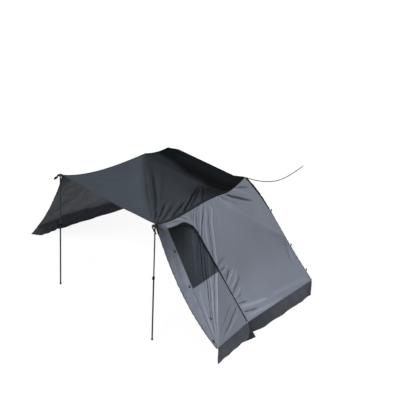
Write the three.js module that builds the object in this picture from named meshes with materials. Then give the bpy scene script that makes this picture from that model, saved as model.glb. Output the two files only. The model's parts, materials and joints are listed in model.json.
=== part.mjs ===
// Vehicle rear tent: a cloth canopy whose hem fastens across the back of a vehicle's roof load, drawn out over two
// telescopic poles, with sloping side walls, ground skirts, a zipped door with a mesh window and a corner strap.
// Millimetres. X to the vehicle's right, Y towards the vehicle, Z up. Heights are written from the ground; the whole
// tent is lowered at the end, so that the origin is the middle of the hem band's outer face.
import * as THREE from 'three';

const cloth = 4;
const clearance = 0.3;
const bindingGap = 0.6;
const seamGap = 0.8;
const loopGap = 1;
const roofGap = 1.4;
const hingeGap = 2.4;

const hem = { width: 1380, height: 2130, deep: 40, thick: 6 };
// The roof's corners lie further out than the hem's ends, and lower, and each pole stands further out than its corner
const wing = { drop: 40, sag: 28 };
const kink = { out: 320, y: -450, drop: 80 };
const corner = { out: 478, y: -2092, drop: 90 };
const roof = { edgeSag: 74, edgeInset: 55, middleSag: 70, rearSag: 22, ridge: 46, ridgeWidth: 420, fold: 13 };
const wall = { belly: 26, frontBow: 70, fold: 9, doorFold: 6 };
const piping = { radius: 5, start: 60, end: 16 };
const binding = { radius: 6, start: 66, end: 8 };
const rearBand = { width: 32 };
const skirt = { gather: 8, seam: 1.7 };
const zip = { tapeHalf: 11, tapeThick: 3 };
const slider = { length: 26, width: 15, footWidth: 4, shoulder: 3.5, height: 9, parking: 120 };
const pull = { length: 32, width: 9, thick: 2.4 };
const pole = { out: 32, back: 38, tubeOuter: 12.5, tubeWall: 1.5, runGap: 0.3, lowerLength: 1130, overlap: 148.7 };
const shoe = { radius: 17, height: 34, sole: 6 };
const collar = { radius: 18, grip: 36, lip: 16 };
const lever = { boss: 4.5, width: 14, length: 40, thick: 4, drop: 12 };
const spike = { radius: 4, length: 52, neck: 6.4, neckHeight: 4, cone: 10, plug: 30 };
const tab = { gap: 0.4, thick: 4 };
const grommet = { bore: 7.2, radius: 16, thick: 7 };
const tail = { width: 34, thick: 3, length: 130, seat: 6, inset: 6, leanShare: 0.87 };
const buckle = { wall: 4, height: 24, drop: 62 };
const toggle = { radius: 6, length: 38, loopWidth: 12, loopThick: 3, loopLength: 24 };
const hook = { reach: 34, height: 26, bar: 7, thick: 5 };
const pegLoop = { width: 20, thick: 3, length: 50, rise: 140 };
const innerStrap = { width: 25, thick: 3 };
const strap = { radius: 4, hookReach: 36, hookBar: 7, hookLip: 20 };
const strapBuckle = { width: 24, thick: 12, height: 30 };
// Route of the corner strap in the plane of its buckle: [y, height]
const strapRoute = [
  [152, 2074], [174, 2073], [200, 2063], [290, 2017], [380, 1974], [470, 1935], [560, 1898], [650, 1866], [740, 1838],
  [830, 1815], [920, 1799], [1010, 1791], [1100, 1792], [1190, 1801], [1280, 1817], [1370, 1838], [1460, 1862],
  [1550, 1889],
];

// Each wall has its own feet: the right wall stands steeper than the left one, which is pegged further out
const rightSide = {
  mirrorShare: 1, rearX: 2360, rearY: -1800, zipX: 2060, zipY: -850, frontX: 1700, frontY: 1010,
  wingOut: 110, wingY: 170, footHeight: 250, bow: 70, drop: 120, flare: 48, rearGap: 0.6, topGap: 1.5,
  tailOut: 2, tailBack: 50, flapOut: 72, flapForward: 90, tuckOut: -78, tuckForward: 180, toeOut: 2, toeBack: 50,
};
const leftSide = {
  mirrorShare: -1, rearX: 2860, rearY: -1390, zipX: 2890, zipY: -850, frontX: 2790, frontY: 1000,
  wingOut: 210, wingY: -30, footHeight: 220, bow: -12, drop: 100, flare: 16, rearGap: 1.1, topGap: 0.8,
  tailOut: 214, tailBack: 20, flapOut: 12, flapForward: 20, tuckOut: -16, tuckForward: 60, toeOut: 4, toeBack: 40,
};

// The five straight lines that run down a wall are its rear edge, the door's hinge line, the zip, the line below the
// kink and the front edge. Their places are shares along the roof's side edge, from the pole corner (0) over the kink
// (1) to the wing corner (2), and along the wall's foot, from the rear corner (0) over the zip (1) to the front (2).
const edgeShares = [0, 0.13, 0.45, 1, 2];
const footShares = [0, 0.03, 1, 1.587, 2];
const lineShares = { rear: 0, hinge: 1, zip: 2, kink: 3, front: 4 };
const { rear: REAR, hinge: HINGE, zip: ZIP, kink: KINK, front: FRONT } = lineShares;
// Share of the roof's depth at which the kinks and the black attach panel's seam lie
const kinkShare = 0.27;
// Shares down the wall: the window's lower edge, and the zip line's start, arch top and arch end
const windowEndShare = 0.527;
const archShares = { start: 0.052, top: 0.058, end: 0.2, from: 1.6 };
const hookShares = [0.339, 0.666, 0.908];
const toggleShares = [[0.8, 0.213], [0.8, 0.49], [1.13, 0.783]];
const innerStrapShares = { from: 2.0, to: 2.55, down: 0.955 };
// A cubic arc b e (1 - e) e or b e (1 - e) (1 - e) peaks at 1 with this b
const arcShare = 6.75;
// An arc b t (1 - t) ^ 3 peaks at 1, a quarter of the way, with this b
const frontArcShare = 9.48;
// Shares of the zip path where its arch starts and ends, and of the roof edge's piping where it passes the kink
const zipPathShares = { flat: 0.2, bend: 0.5 };
const pipingKinkShare = 0.7;
// Reach of a skirt's loose corner along the wall's foot
const looseShare = 0.3;
// Width beside the zip over which the cloth's folds fade out
const zipCalmShare = 0.15;
// Pull folds that fan out from a pole corner: how far they reach, and between which angles off the side edge they lie
const fanShares = { near: 0.03, full: 0.35, fading: 0.7, far: 1.15, first: 0.1, second: 0.45, third: 0.8, last: 1.3 };
const fanCount = 16;

const material = (color, roughness, metalness = 0) => new THREE.MeshStandardMaterial({ color, roughness, metalness });
const materials = {
  roofCloth: material(0x474e56, 0.75),
  blackCloth: material(0x111417, 0.8),
  wallCloth: material(0x767c88, 0.75),
  skirtCloth: material(0x42464c, 0.7),
  windowMesh: material(0x23282d, 0.85),
  webbing: material(0x0e1012, 0.85),
  poleMetal: material(0x41464f, 0.4, 0.7),
  steel: material(0x8c9096, 0.3, 1),
  plastic: material(0x0d0f11, 0.5),
  rubber: material(0x16181a, 0.9),
};

const wingHeight = hem.height - wing.drop;
const kinkHeight = hem.height - kink.drop;
const cornerHeight = hem.height - corner.drop;
const kinkX = hem.width / 2 + kink.out;
const cornerX = hem.width / 2 + corner.out;
const poleX = cornerX + pole.out;
const poleY = corner.y - pole.back;

const vec = (x, y, z) => new THREE.Vector3(x, y, z);
const wingX = (side) => hem.width / 2 + side.wingOut;
const wingCorner = (side) => vec(wingX(side), side.wingY, wingHeight);
const mix = (a, b, t) => a + (b - a) * t;
const lerp = (a, b, t) => a.clone().lerp(b, t);
const rise = (a, b, x) => THREE.MathUtils.smoothstep(x, a, b);
const steps = (count, make) => Array.from({ length: count + 1 }, (_, k) => make(k / count));

// Value of the broken line through (index, list[index]) at x
function along(list, x) {
  const i = Math.min(Math.max(Math.floor(x), 0), list.length - 2);
  return mix(list[i], list[i + 1], x - i);
}

const tent = new THREE.Group();

function add(name, geometry, finish, place = vec(0, 0, 0)) {
  const mesh = new THREE.Mesh(geometry, finish);
  mesh.name = name;
  mesh.position.copy(place);
  tent.add(mesh);
  return mesh;
}

function closedBody(positions, index) {
  const geometry = new THREE.BufferGeometry();
  geometry.setAttribute('position', new THREE.Float32BufferAttribute(positions, 3));
  geometry.setIndex(index);
  geometry.computeVertexNormals();
  return geometry;
}

// Closed sheet of the given thickness about the surface at(u, v), on a grid of nu by nv cells. A skirt is thickened
// sideways only, and its last row of points lies flat on the ground.
function sheet(at, nu, nv, thickness, onGround = false) {
  const rows = steps(nv, (v) => steps(nu, (u) => at(u, v)));
  const normal = (i, j) => {
    const du = rows[j][Math.min(i + 1, nu)].clone().sub(rows[j][Math.max(i - 1, 0)]);
    const dv = rows[Math.min(j + 1, nv)][i].clone().sub(rows[Math.max(j - 1, 0)][i]);
    const n = du.cross(dv);
    if (onGround) n.z = 0;
    return n.normalize();
  };
  const positions = [];
  for (const face of [1, -1]) {
    for (let j = 0; j <= nv; j++) {
      for (let i = 0; i <= nu; i++) {
        const p = rows[j][i].clone().addScaledVector(normal(i, j), (face * thickness) / 2);
        positions.push(p.x, p.y, onGround && j === nv ? 0 : p.z);
      }
    }
  }
  const id = (face, i, j) => (face * (nv + 1) + j) * (nu + 1) + i;
  const index = [];
  const quad = (a, b, c, d) => index.push(a, b, c, a, c, d);
  for (let j = 0; j < nv; j++) {
    for (let i = 0; i < nu; i++) {
      quad(id(0, i, j), id(0, i + 1, j), id(0, i + 1, j + 1), id(0, i, j + 1));
      quad(id(1, i, j), id(1, i, j + 1), id(1, i + 1, j + 1), id(1, i + 1, j));
    }
  }
  for (let i = 0; i < nu; i++) {
    quad(id(0, i, 0), id(1, i, 0), id(1, i + 1, 0), id(0, i + 1, 0));
    quad(id(0, i + 1, nv), id(1, i + 1, nv), id(1, i, nv), id(0, i, nv));
  }
  for (let j = 0; j < nv; j++) {
    quad(id(0, 0, j + 1), id(1, 0, j + 1), id(1, 0, j), id(0, 0, j));
    quad(id(0, nu, j), id(1, nu, j), id(1, nu, j + 1), id(0, nu, j + 1));
  }
  return closedBody(positions, index);
}

// Curve whose place at t, from 0 to 1, is at(t). Its steps are even in t, so that a corner can fall on one of them.
class Path extends THREE.Curve {
  constructor(at) {
    super();
    this.at = at;
  }

  getPoint(t) {
    return this.at(t);
  }

  getUtoTmapping(u) {
    return u;
  }
}

// Solid round cord along a path
function cord(path, radius, count, sides = 8) {
  const corners = Array.from({ length: sides }, (_, k) => {
    const angle = (2 * Math.PI * (k + 0.5)) / sides;
    return new THREE.Vector2(radius * Math.cos(angle), radius * Math.sin(angle));
  });
  return new THREE.ExtrudeGeometry(new THREE.Shape(corners), { extrudePath: path, steps: count, bevelEnabled: false });
}

// Piece turned about Z: [radius, height] points go up the outside, and start and end on the axis or close in a ring
function turned(points, segments = 20) {
  const geometry = new THREE.LatheGeometry(points.map(([r, z]) => new THREE.Vector2(r, z)), segments);
  return geometry.rotateX(Math.PI / 2);
}

function outline(points) {
  return new THREE.Shape(points.map(([x, y]) => new THREE.Vector2(x, y)));
}

function extruded(shape, depth) {
  return new THREE.ExtrudeGeometry(shape, { depth, bevelEnabled: false, curveSegments: 6 });
}

// Roof side edge of one side at e, from the pole corner (0) over the kink (1) to the wing corner (2): between pole and
// kink it is drawn in and sags most near the pole, beyond the kink it sags evenly
function edge(side, e) {
  const k = vec(kinkX, kink.y, kinkHeight);
  let p;
  if (e <= 1) {
    p = lerp(vec(cornerX, corner.y, cornerHeight), k, e);
    const bow = arcShare * e * (1 - e);
    p.x -= roof.edgeInset * bow * e;
    p.z -= roof.edgeSag * bow * (1 - e);
  } else {
    p = lerp(k, wingCorner(side), e - 1);
    p.z -= wing.sag * 4 * (e - 1) * (2 - e);
  }
  p.x *= side.mirrorShare;
  return p;
}

// Foot of one wall at b, from the rear corner (0) over the zip (1) to the front corner (2)
function foot(side, b) {
  const x = along([side.rearX, side.zipX, side.frontX], b);
  return vec(side.mirrorShare * x, along([side.rearY, side.zipY, side.frontY], b), side.footHeight);
}

// Place on a wall before it hangs: line s, share t of the way down that line
function tautWall(side, s, t) {
  return lerp(edge(side, along(edgeShares, s)), foot(side, along(footShares, s)), t);
}

function wallOut(side, s, t) {
  const small = 0.01;
  const du = tautWall(side, s + small, t).sub(tautWall(side, s - small, t));
  const dv = tautWall(side, s, t + small).sub(tautWall(side, s, t - small));
  return du.cross(dv).normalize().multiplyScalar(-side.mirrorShare);
}

// Place on the wall as it hangs, lifted off it by a real size. The rear edge swings back and drops, the cloth in front
// of the zip bellies in, and pull folds run down from the roof edge; hinge line and zip stay straight.
function wallPoint(side, s, t, lift = 0) {
  const p = tautWall(side, s, t);
  const arc = 4 * t * (1 - t);
  if (s < HINGE) {
    p.y -= side.bow * (1 - s) * arc;
    p.z -= side.drop * (1 - s) * arc;
  }
  let out = lift;
  const calm = rise(0, zipCalmShare, Math.abs(s - ZIP));
  if (s > HINGE && s < ZIP) out += calm * wall.doorFold * Math.sin(4 * Math.PI * s) * Math.sin(Math.PI * t);
  if (s > ZIP) {
    out -= wall.belly * arc * Math.sin((Math.PI * (s - ZIP)) / (FRONT - ZIP));
    const ahead = 1 - rise(ZIP + 0.9, ZIP + 1.25, s);
    out += calm * wall.fold * Math.sin(8 * Math.PI * s) * ahead * (1 - rise(0.1, 0.75, t));
    p.y += wall.frontBow * frontArcShare * t * (1 - t) ** 3 * rise(ZIP, FRONT, s);
  }
  return p.addScaledVector(wallOut(side, s, t), out);
}

// Shares of a place moved across (s) and down (t) the wall by real sizes
function moved(side, [s, t], across, down) {
  const small = 0.02;
  const here = tautWall(side, s, t);
  const perS = tautWall(side, s + small, t).distanceTo(here) / small;
  const perT = tautWall(side, s, t + small).distanceTo(here) / small;
  return [s + across / perS, t + down / perT];
}

// Panel of wall cloth between two broken lines of places, each with one more point than nu
function panel(side, lineA, lineB, nv, thickness = cloth, lift = 0) {
  const nu = lineA.length - 1;
  return sheet((u, v) => {
    const k = Math.round(u * nu);
    return wallPoint(side, mix(lineA[k][0], lineB[k][0], v), mix(lineA[k][1], lineB[k][1], v), lift);
  }, nu, nv, thickness);
}

const tabTop = cornerHeight - cloth / 2 - clearance;
const grommetMiddle = tabTop - tab.thick / 2;
const sideInset = binding.radius + bindingGap;
const zipInset = zip.tapeHalf + seamGap;

// Zip path at x: along the door's top from the hinge line, round the arch and down the straight zip line
function zipPath(x) {
  const { flat, bend } = zipPathShares;
  if (x < flat) return [mix(HINGE, archShares.from, x / flat), mix(archShares.start, archShares.top, x / flat)];
  if (x >= bend) return [ZIP, mix(archShares.end, 1, (x - bend) / (1 - bend))];
  const turn = (Math.PI / 2) * ((x - flat) / (bend - flat));
  return [mix(archShares.from, ZIP, Math.sin(turn)), mix(archShares.end, archShares.top, Math.cos(turn))];
}

// The zip path shifted by a real size, outwards from the door where it is positive
function zipLine(side, shift, count = 30) {
  return steps(count, (x) => {
    const small = 0.01;
    const [s, t] = zipPath(x);
    const [sa, ta] = zipPath(Math.max(x - small, 0));
    const [sb, tb] = zipPath(Math.min(x + small, 1));
    const before = tautWall(side, sa, ta);
    const across = tautWall(side, sb, ta).distanceTo(before) * Math.sign(sb - sa);
    const down = tautWall(side, sa, tb).distanceTo(before) * Math.sign(tb - ta);
    const length = Math.hypot(across, down);
    return moved(side, [s, t], (shift * down) / length, (-shift * across) / length);
  });
}

// Roof surface: u across (-1 left, 1 right), v back from hem and wings (0) over the kinks to the poles (1). It sags
// between its edges, is drawn up in a ridge from the right pole corner to the left kink, and has pull folds that fan
// out from the pole corners.
function roofPoint(u, v) {
  const e = v < kinkShare ? 2 - v / kinkShare : (1 - v) / (1 - kinkShare);
  const reach = 1 - (piping.radius + roofGap) / edge(rightSide, e).x;
  const x = u * reach;
  const p = lerp(edge(leftSide, e), edge(rightSide, e), (x + 1) / 2);
  const across = 1 - x * x;
  if (v < kinkShare) {
    const seam = 1 - v / kinkShare;
    p.add(hemPoint(x).sub(lerp(edge(leftSide, 2), edge(rightSide, 2), (x + 1) / 2)).multiplyScalar(seam));
  }
  p.z -= roof.middleSag * across * Math.sin(Math.PI * v) * rise(0, kinkShare, v) + roof.rearSag * across * v * v;
  const back = (v - kinkShare) / (1 - kinkShare);
  if (back <= 0) return p;
  const off = ((x + 1) / 2 - back) * (2 * kinkX);
  p.z += roof.ridge * Math.exp(-((off / roof.ridgeWidth) ** 2)) * Math.sin(Math.PI * back) * across;
  for (const c of [-1, 1]) {
    const dx = Math.abs(x - c) * cornerX;
    const dy = (1 - back) * (kink.y - corner.y);
    const angle = Math.atan2(dx, dy);
    const far = Math.hypot(dx, dy) / (kink.y - corner.y);
    const long = rise(fanShares.near, fanShares.full, far) * (1 - rise(fanShares.fading, fanShares.far, far));
    const wide = rise(fanShares.first, fanShares.second, angle) * (1 - rise(fanShares.third, fanShares.last, angle));
    p.z += roof.fold * Math.sin(fanCount * angle) * long * wide * across;
  }
  return p;
}

// Front edge of the roof cloth: straight along the hem band, then out to the wing corners
function hemPoint(x) {
  const half = hem.width / 2;
  const side = x < 0 ? leftSide : rightSide;
  const share = half / wingX(side);
  const out = Math.abs(x);
  const seat = vec(half * Math.min(out / share, 1), -hem.thick - clearance - cloth / 2, hem.height - cloth);
  const p = lerp(seat, wingCorner(side), Math.max((out - share) / (1 - share), 0));
  p.x *= Math.sign(x);
  return p;
}

function buildRoof() {
  const depth = (kink.y - corner.y) / (1 - kinkShare);
  const seam = clearance / 2 / depth;
  const band = 1 - rearBand.width / depth;
  const strip = (from, to) => (u, v) => roofPoint(1 - 2 * u, mix(from, to, v));
  // The attach panel has a column of points at each end of the hem band, where its front edge turns
  const columns = 16;
  const reach = 1 - (piping.radius + roofGap) / wingX(rightSide);
  const turn = (side) => hem.width / 2 / wingX(side) / reach;
  const column = (u) => (1 - 2 * u) / (1 - 2 / columns) * turn(u > 0.5 ? leftSide : rightSide);
  const front = (u, v) => roofPoint(u === 0 || u === 1 ? 1 - 2 * u : column(u), (kinkShare - seam) * v);
  add('attach_panel', sheet(front, columns, 4, cloth), materials.blackCloth);
  add('roof_panel', sheet(strip(kinkShare + seam, band - seam), 26, 15, cloth), materials.roofCloth);
  add('rear_edge_band', sheet(strip(band + seam, 1), 26, 1, cloth), materials.roofCloth);
  const hemBand = new THREE.BoxGeometry(hem.width, hem.thick, hem.deep);
  add('hem_band', hemBand, materials.webbing, vec(0, -hem.thick / 2, hem.height - hem.deep / 2));
}

// Seam piping along a roof side edge, and the bindings down a wall's rear and front edges
function buildEdges(side, name) {
  const start = piping.start / (kink.y - corner.y);
  const end = edgeShares[FRONT] - piping.end / wingX(side);
  const seam = new Path((x) => {
    if (x < pipingKinkShare) return edge(side, mix(start, 1, x / pipingKinkShare));
    return edge(side, mix(1, end, (x - pipingKinkShare) / (1 - pipingKinkShare)));
  });
  add(`roof_piping_${name}`, cord(seam, piping.radius, 40), materials.blackCloth);
  const bindingShare = (x) => mix(binding.start, cornerHeight - binding.end, x) / cornerHeight;
  const down = (s) => new Path((x) => wallPoint(side, s, bindingShare(x)));
  add(`rear_binding_${name}`, cord(down(REAR), binding.radius, 24), materials.webbing);
  add(`front_binding_${name}`, cord(down(FRONT), binding.radius, 24), materials.webbing);
}

// Start of the wall cloth below the roof piping on line s
function wallTop(side, s) {
  return moved(side, [s, 0], 0, piping.radius + side.topGap)[1];
}

function buildRearStrip(side, name) {
  const start = binding.start / cornerHeight;
  const line = (s, inset) => steps(24, (x) => moved(side, [s, mix(start, 1, x)], inset, 0));
  const geometry = panel(side, line(HINGE, -hingeGap / 2), line(REAR, binding.radius + side.rearGap), 3);
  add(`wall_${name}_rear_strip`, geometry, materials.wallCloth);
}

// Main cloth of the right wall: from the zip line out to the roof edge, then to the front edge
function buildRightCloth() {
  const side = rightSide;
  const count = 40;
  const inner = zipLine(side, zipInset, count);
  const kinkAt = 16;
  const wingAt = 24;
  const outer = inner.map((_, k) => {
    const s = k < kinkAt ? mix(HINGE, KINK, k / kinkAt) : mix(KINK, FRONT, (k - kinkAt) / (wingAt - kinkAt));
    if (k < wingAt) return [s, wallTop(side, s)];
    return moved(side, [FRONT, mix(wallTop(side, FRONT), 1, (k - wingAt) / (count - wingAt))], -sideInset, 0);
  });
  inner[0][0] = outer[0][0] = moved(side, [HINGE, outer[0][1]], hingeGap / 2, 0)[0];
  add('wall_right_panel', panel(side, outer, inner, 9), materials.wallCloth);
}

// Main cloth of the left wall, which has no door
function buildLeftCloth() {
  const side = leftSide;
  const across = (x) => mix(HINGE, FRONT, x);
  const top = steps(24, (x) => [across(x), wallTop(side, across(x))]);
  const bottom = steps(24, (x) => [across(x), 1]);
  for (const line of [top, bottom]) {
    line[0] = moved(side, line[0], hingeGap / 2, 0);
    line[24] = moved(side, line[24], -sideInset, 0);
  }
  add('wall_left_panel', panel(side, bottom, top, 12), materials.wallCloth);
}

// Door: the mesh window under the arch, the cloth panel below it, and the zip tape round both
function buildDoor() {
  const side = rightSide;
  const count = 30;
  const inner = zipLine(side, -zipInset, count);
  const archTop = inner.slice(0, count / 2 + 1);
  archTop[0] = moved(side, [HINGE, archTop[0][1]], hingeGap / 2, 0);
  const seam = clearance / 2 / cornerHeight;
  const windowFoot = archTop.map(([s], k) => {
    if (k < archTop.length - 1) return [s, windowEndShare - seam];
    return moved(side, [ZIP, windowEndShare - seam], -zipInset, 0);
  });
  add('door_window', panel(side, windowFoot, archTop, 8), materials.windowMesh);
  const low = (s, inset) => steps(8, (x) => moved(side, [s, mix(windowEndShare + seam, 1, x)], inset, 0));
  add('door_panel', panel(side, low(ZIP, -zipInset), low(HINGE, hingeGap / 2), 8), materials.wallCloth);
  const tape = [zipLine(side, zip.tapeHalf), zipLine(side, -zip.tapeHalf)];
  for (const line of tape) line[0][0] = moved(side, [HINGE, line[0][1]], hingeGap / 2, 0)[0];
  add('zip_tape', panel(side, tape[0], tape[1], 1, zip.tapeThick), materials.webbing);
}

// Skirt below a wall's foot between two shares of it: it hangs to the ground, flares out, and gathers in soft waves.
// Its loose corners are drawn out by the sizes of the side.
function buildSkirt(side, name, from, to) {
  const top = side.footHeight - skirt.seam;
  const near = (b, place) => Math.max(0, 1 - Math.abs(b - place) / looseShare) ** 2;
  const ground = (b) => {
    const p = foot(side, b);
    const weights = to <= 1 ? [near(b, 0), near(b, 1), 0, 0] : [0, 0, near(b, 1), near(b, 2)];
    const [w0, w1, w2, w3] = weights;
    const out = side.flare + w0 * side.tailOut + w1 * side.flapOut + w2 * side.tuckOut + w3 * side.toeOut;
    p.x += side.mirrorShare * (out + skirt.gather * Math.sin(7 * Math.PI * b));
    p.y += -w0 * side.tailBack + w1 * side.flapForward + w2 * side.tuckForward - w3 * side.toeBack;
    p.z = 0;
    return p;
  };
  const hang = (u, v) => {
    const b = mix(from, to, u);
    const head = foot(side, b);
    head.z = top;
    return lerp(head, ground(b), v);
  };
  add(name, sheet(side.mirrorShare > 0 ? hang : (u, v) => hang(1 - u, v), 14, 3, cloth, true), materials.skirtCloth);
}

// Pole: shoe, lower tube, clamp collar with its lever, upper tube and the spike that stands in the corner grommet
function buildPole(side, name) {
  const axis = vec(side.mirrorShare * poleX, poleY, 0);
  const bore = pole.tubeOuter - pole.tubeWall;
  const upper = bore - pole.runGap;
  const seat = shoe.sole + clearance;
  const tubeTop = seat + pole.lowerLength;
  const cup = pole.tubeOuter + clearance;
  add(`pole_${name}_shoe`, turned([
    [0, 0], [shoe.radius, 0], [shoe.radius, shoe.sole], [cup + cloth / 2, shoe.height], [cup, shoe.height],
    [cup, shoe.sole], [0, shoe.sole],
  ]), materials.rubber, axis);
  add(`pole_${name}_lower_tube`, turned([
    [bore, seat], [pole.tubeOuter, seat], [pole.tubeOuter, tubeTop], [bore, tubeTop], [bore, seat],
  ]), materials.poleMetal, axis);
  add(`pole_${name}_collar`, turned([
    [cup, tubeTop - collar.grip], [collar.radius, tubeTop - collar.grip], [collar.radius, tubeTop + collar.lip],
    [bore, tubeTop + collar.lip], [bore, tubeTop + clearance], [cup, tubeTop + clearance],
    [cup, tubeTop - collar.grip],
  ]), materials.plastic, axis);

  const coneTop = grommetMiddle - grommet.thick / 2 - clearance;
  const coneFoot = coneTop - spike.neckHeight - spike.cone;
  const coreRadius = upper - pole.tubeWall;
  const upperFoot = tubeTop - pole.overlap;
  add(`pole_${name}_upper_tube`, turned([
    [coreRadius, upperFoot], [upper, upperFoot], [upper, coneFoot - clearance], [coreRadius, coneFoot - clearance],
    [coreRadius, upperFoot],
  ]), materials.poleMetal, axis);
  add(`pole_${name}_spike`, turned([
    [0, coneFoot - spike.plug], [coreRadius - clearance, coneFoot - spike.plug],
    [coreRadius - clearance, coneFoot], [upper, coneFoot], [spike.neck, coneTop - spike.neckHeight],
    [spike.neck, coneTop], [spike.radius, coneTop],
    [spike.radius, coneTop + spike.length - spike.radius], [0, coneTop + spike.length],
  ]), materials.steel, axis);

  // The lever's outline is drawn with its own x towards the pole and turned so that it hangs down behind the collar
  const pivot = vec(0, -collar.radius - clearance - lever.boss, tubeTop + collar.lip - lever.drop);
  const shape = new THREE.Shape();
  shape.moveTo(-lever.boss, 0);
  shape.absarc(0, 0, lever.boss, Math.PI, 0, true);
  shape.lineTo(lever.thick - lever.boss, -lever.boss);
  shape.lineTo(lever.thick - lever.boss, -lever.length);
  shape.lineTo(-lever.boss, -lever.length);
  const paddle = extruded(shape, lever.width).translate(0, 0, -lever.width / 2);
  paddle.rotateX(Math.PI / 2).rotateZ(Math.PI / 2);
  add(`pole_${name}_lever`, paddle, materials.plastic, axis.clone().add(pivot));
}

// Corner fittings: round webbing tab under the roof corner, grommet in it, webbing tail that leans out beside the
// wall's rear edge, and the keeper buckle on it
function buildCorner(side, name) {
  const axis = vec(side.mirrorShare * poleX, poleY, 0);
  const radius = Math.hypot(poleX - cornerX + piping.radius + roofGap, poleY - corner.y) - tab.gap;
  const hole = grommet.radius - grommet.thick / 2;
  add(`corner_tab_${name}`, turned([
    [hole, tabTop - tab.thick], [radius, tabTop - tab.thick], [radius, tabTop], [hole, tabTop],
    [hole, tabTop - tab.thick],
  ], 32), materials.webbing, axis);
  const middle = grommetMiddle;
  const lip = tab.thick / 2 + clearance;
  const half = grommet.thick / 2;
  const groove = hole - clearance;
  add(`grommet_${name}`, turned([
    [grommet.bore, middle - half], [grommet.radius, middle - half], [grommet.radius, middle - lip],
    [groove, middle - lip], [groove, middle + lip], [grommet.radius, middle + lip], [grommet.radius, middle + half],
    [grommet.bore, middle + half], [grommet.bore, middle - half],
  ], 24), materials.steel, axis);
  const tailY = poleY - radius - clearance - tail.thick / 2;
  const head = vec(axis.x - side.mirrorShare * tail.inset, tailY, tabTop - tail.seat);
  const lean = -side.mirrorShare * tail.leanShare;
  const tailShape = new THREE.BoxGeometry(tail.width, tail.thick, tail.length).translate(0, 0, -tail.length / 2);
  add(`corner_tail_${name}`, tailShape, materials.webbing, head).rotation.y = lean;
  const inside = [tail.width / 2 + clearance, tail.thick / 2 + clearance];
  const ring = outline([[-1, -1], [1, -1], [1, 1], [-1, 1]].map(([x, y]) =>
    [x * (inside[0] + buckle.wall), y * (inside[1] + buckle.wall)]));
  ring.holes.push(outline([[-1, -1], [-1, 1], [1, 1], [1, -1]].map(([x, y]) => [x * inside[0], y * inside[1]])));
  const ringShape = extruded(ring, buckle.height).translate(0, 0, -buckle.drop - buckle.height);
  add(`corner_buckle_${name}`, ringShape, materials.plastic, head).rotation.y = lean;
}

// Turns and places a piece on the hanging wall: its own X runs along the wall to the front, its Y up and its Z out.
// On a flat band of the given half width it lies on the middle between the band's edges.
function onWall(mesh, side, place, lift, bandHalf = 0) {
  const small = 0.01;
  const [s, t] = place;
  const [ahead, behind] = [1, -1].map((way) => (bandHalf ? moved(side, place, way * bandHalf, 0)[0] : s + way * small));
  const [front, back] = [wallPoint(side, ahead, t), wallPoint(side, behind, t)];
  const up = wallPoint(side, s, t - small).sub(wallPoint(side, s, t + small)).normalize();
  const out = front.clone().sub(back).cross(up).normalize();
  const seat = bandHalf ? lerp(front, back, 0.5) : wallPoint(side, s, t);
  mesh.quaternion.setFromRotationMatrix(new THREE.Matrix4().makeBasis(up.clone().cross(out), up, out));
  mesh.position.copy(seat).addScaledVector(out, side.mirrorShare * lift);
  return mesh;
}

// Toggles that hold the rolled door: each is a bar below a sewn webbing loop
function buildToggles() {
  toggleShares.forEach((place, k) => {
    const face = cloth / 2 + clearance;
    const loop = new THREE.BoxGeometry(toggle.loopWidth, toggle.loopLength, toggle.loopThick);
    onWall(add(`toggle_loop_${k + 1}`, loop, materials.webbing), rightSide, place, face + toggle.loopThick / 2);
    const bar = new THREE.CapsuleGeometry(toggle.radius, toggle.length - 2 * toggle.radius, 3, 10).rotateZ(Math.PI / 2);
    const below = moved(rightSide, place, 0, toggle.loopLength / 2 + clearance + toggle.radius);
    onWall(add(`toggle_${k + 1}`, bar, materials.plastic), rightSide, below, face + toggle.radius);
  });
}

// Flat hooks that stand forward off a wall's front binding and clip to the vehicle
function buildHooks(side, name, shares) {
  shares.forEach((t, k) => {
    const small = 0.01;
    const { reach, height, bar, thick } = hook;
    const shape = outline([[0, 0], [reach, 0], [reach, height], [reach - bar, height], [reach - bar, bar], [0, bar]]);
    const mesh = add(`front_hook_${name}_${k + 1}`, extruded(shape, thick), materials.plastic);
    mesh.geometry.translate(0, -bar / 2, -thick / 2);
    const up = wallPoint(side, FRONT, t - small).sub(wallPoint(side, FRONT, t + small)).normalize();
    const forward = up.clone().cross(wallOut(side, FRONT, t)).multiplyScalar(side.mirrorShare).normalize();
    mesh.quaternion.setFromRotationMatrix(new THREE.Matrix4().makeBasis(forward, up, forward.clone().cross(up)));
    mesh.position.copy(wallPoint(side, FRONT, t)).addScaledVector(forward, binding.radius + clearance);
  });
}

// Zip slider on the tape, with a narrow foot that runs along its middle, and the pull that hangs from it
function buildSlider() {
  const face = zip.tapeThick / 2 + 2 * clearance;
  const half = slider.width / 2;
  const foot2d = slider.footWidth / 2;
  const section = outline([
    [-foot2d, 0], [foot2d, 0], [half, slider.shoulder], [half, slider.height], [-half, slider.height],
    [-half, slider.shoulder],
  ]);
  const place = moved(rightSide, [ZIP, 1], 0, -slider.parking);
  const body = extruded(section, slider.length).rotateX(Math.PI / 2).translate(0, slider.length / 2, 0);
  onWall(add('zip_slider', body, materials.steel), rightSide, place, face, zip.tapeHalf);
  const below = moved(rightSide, place, 0, slider.length / 2 + pull.length / 2 + clearance);
  const tabShape = new THREE.BoxGeometry(pull.width, pull.length, pull.thick);
  const pullLift = face + slider.height - pull.thick;
  onWall(add('zip_pull', tabShape, materials.plastic), rightSide, below, pullLift, zip.tapeHalf);
}

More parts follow.
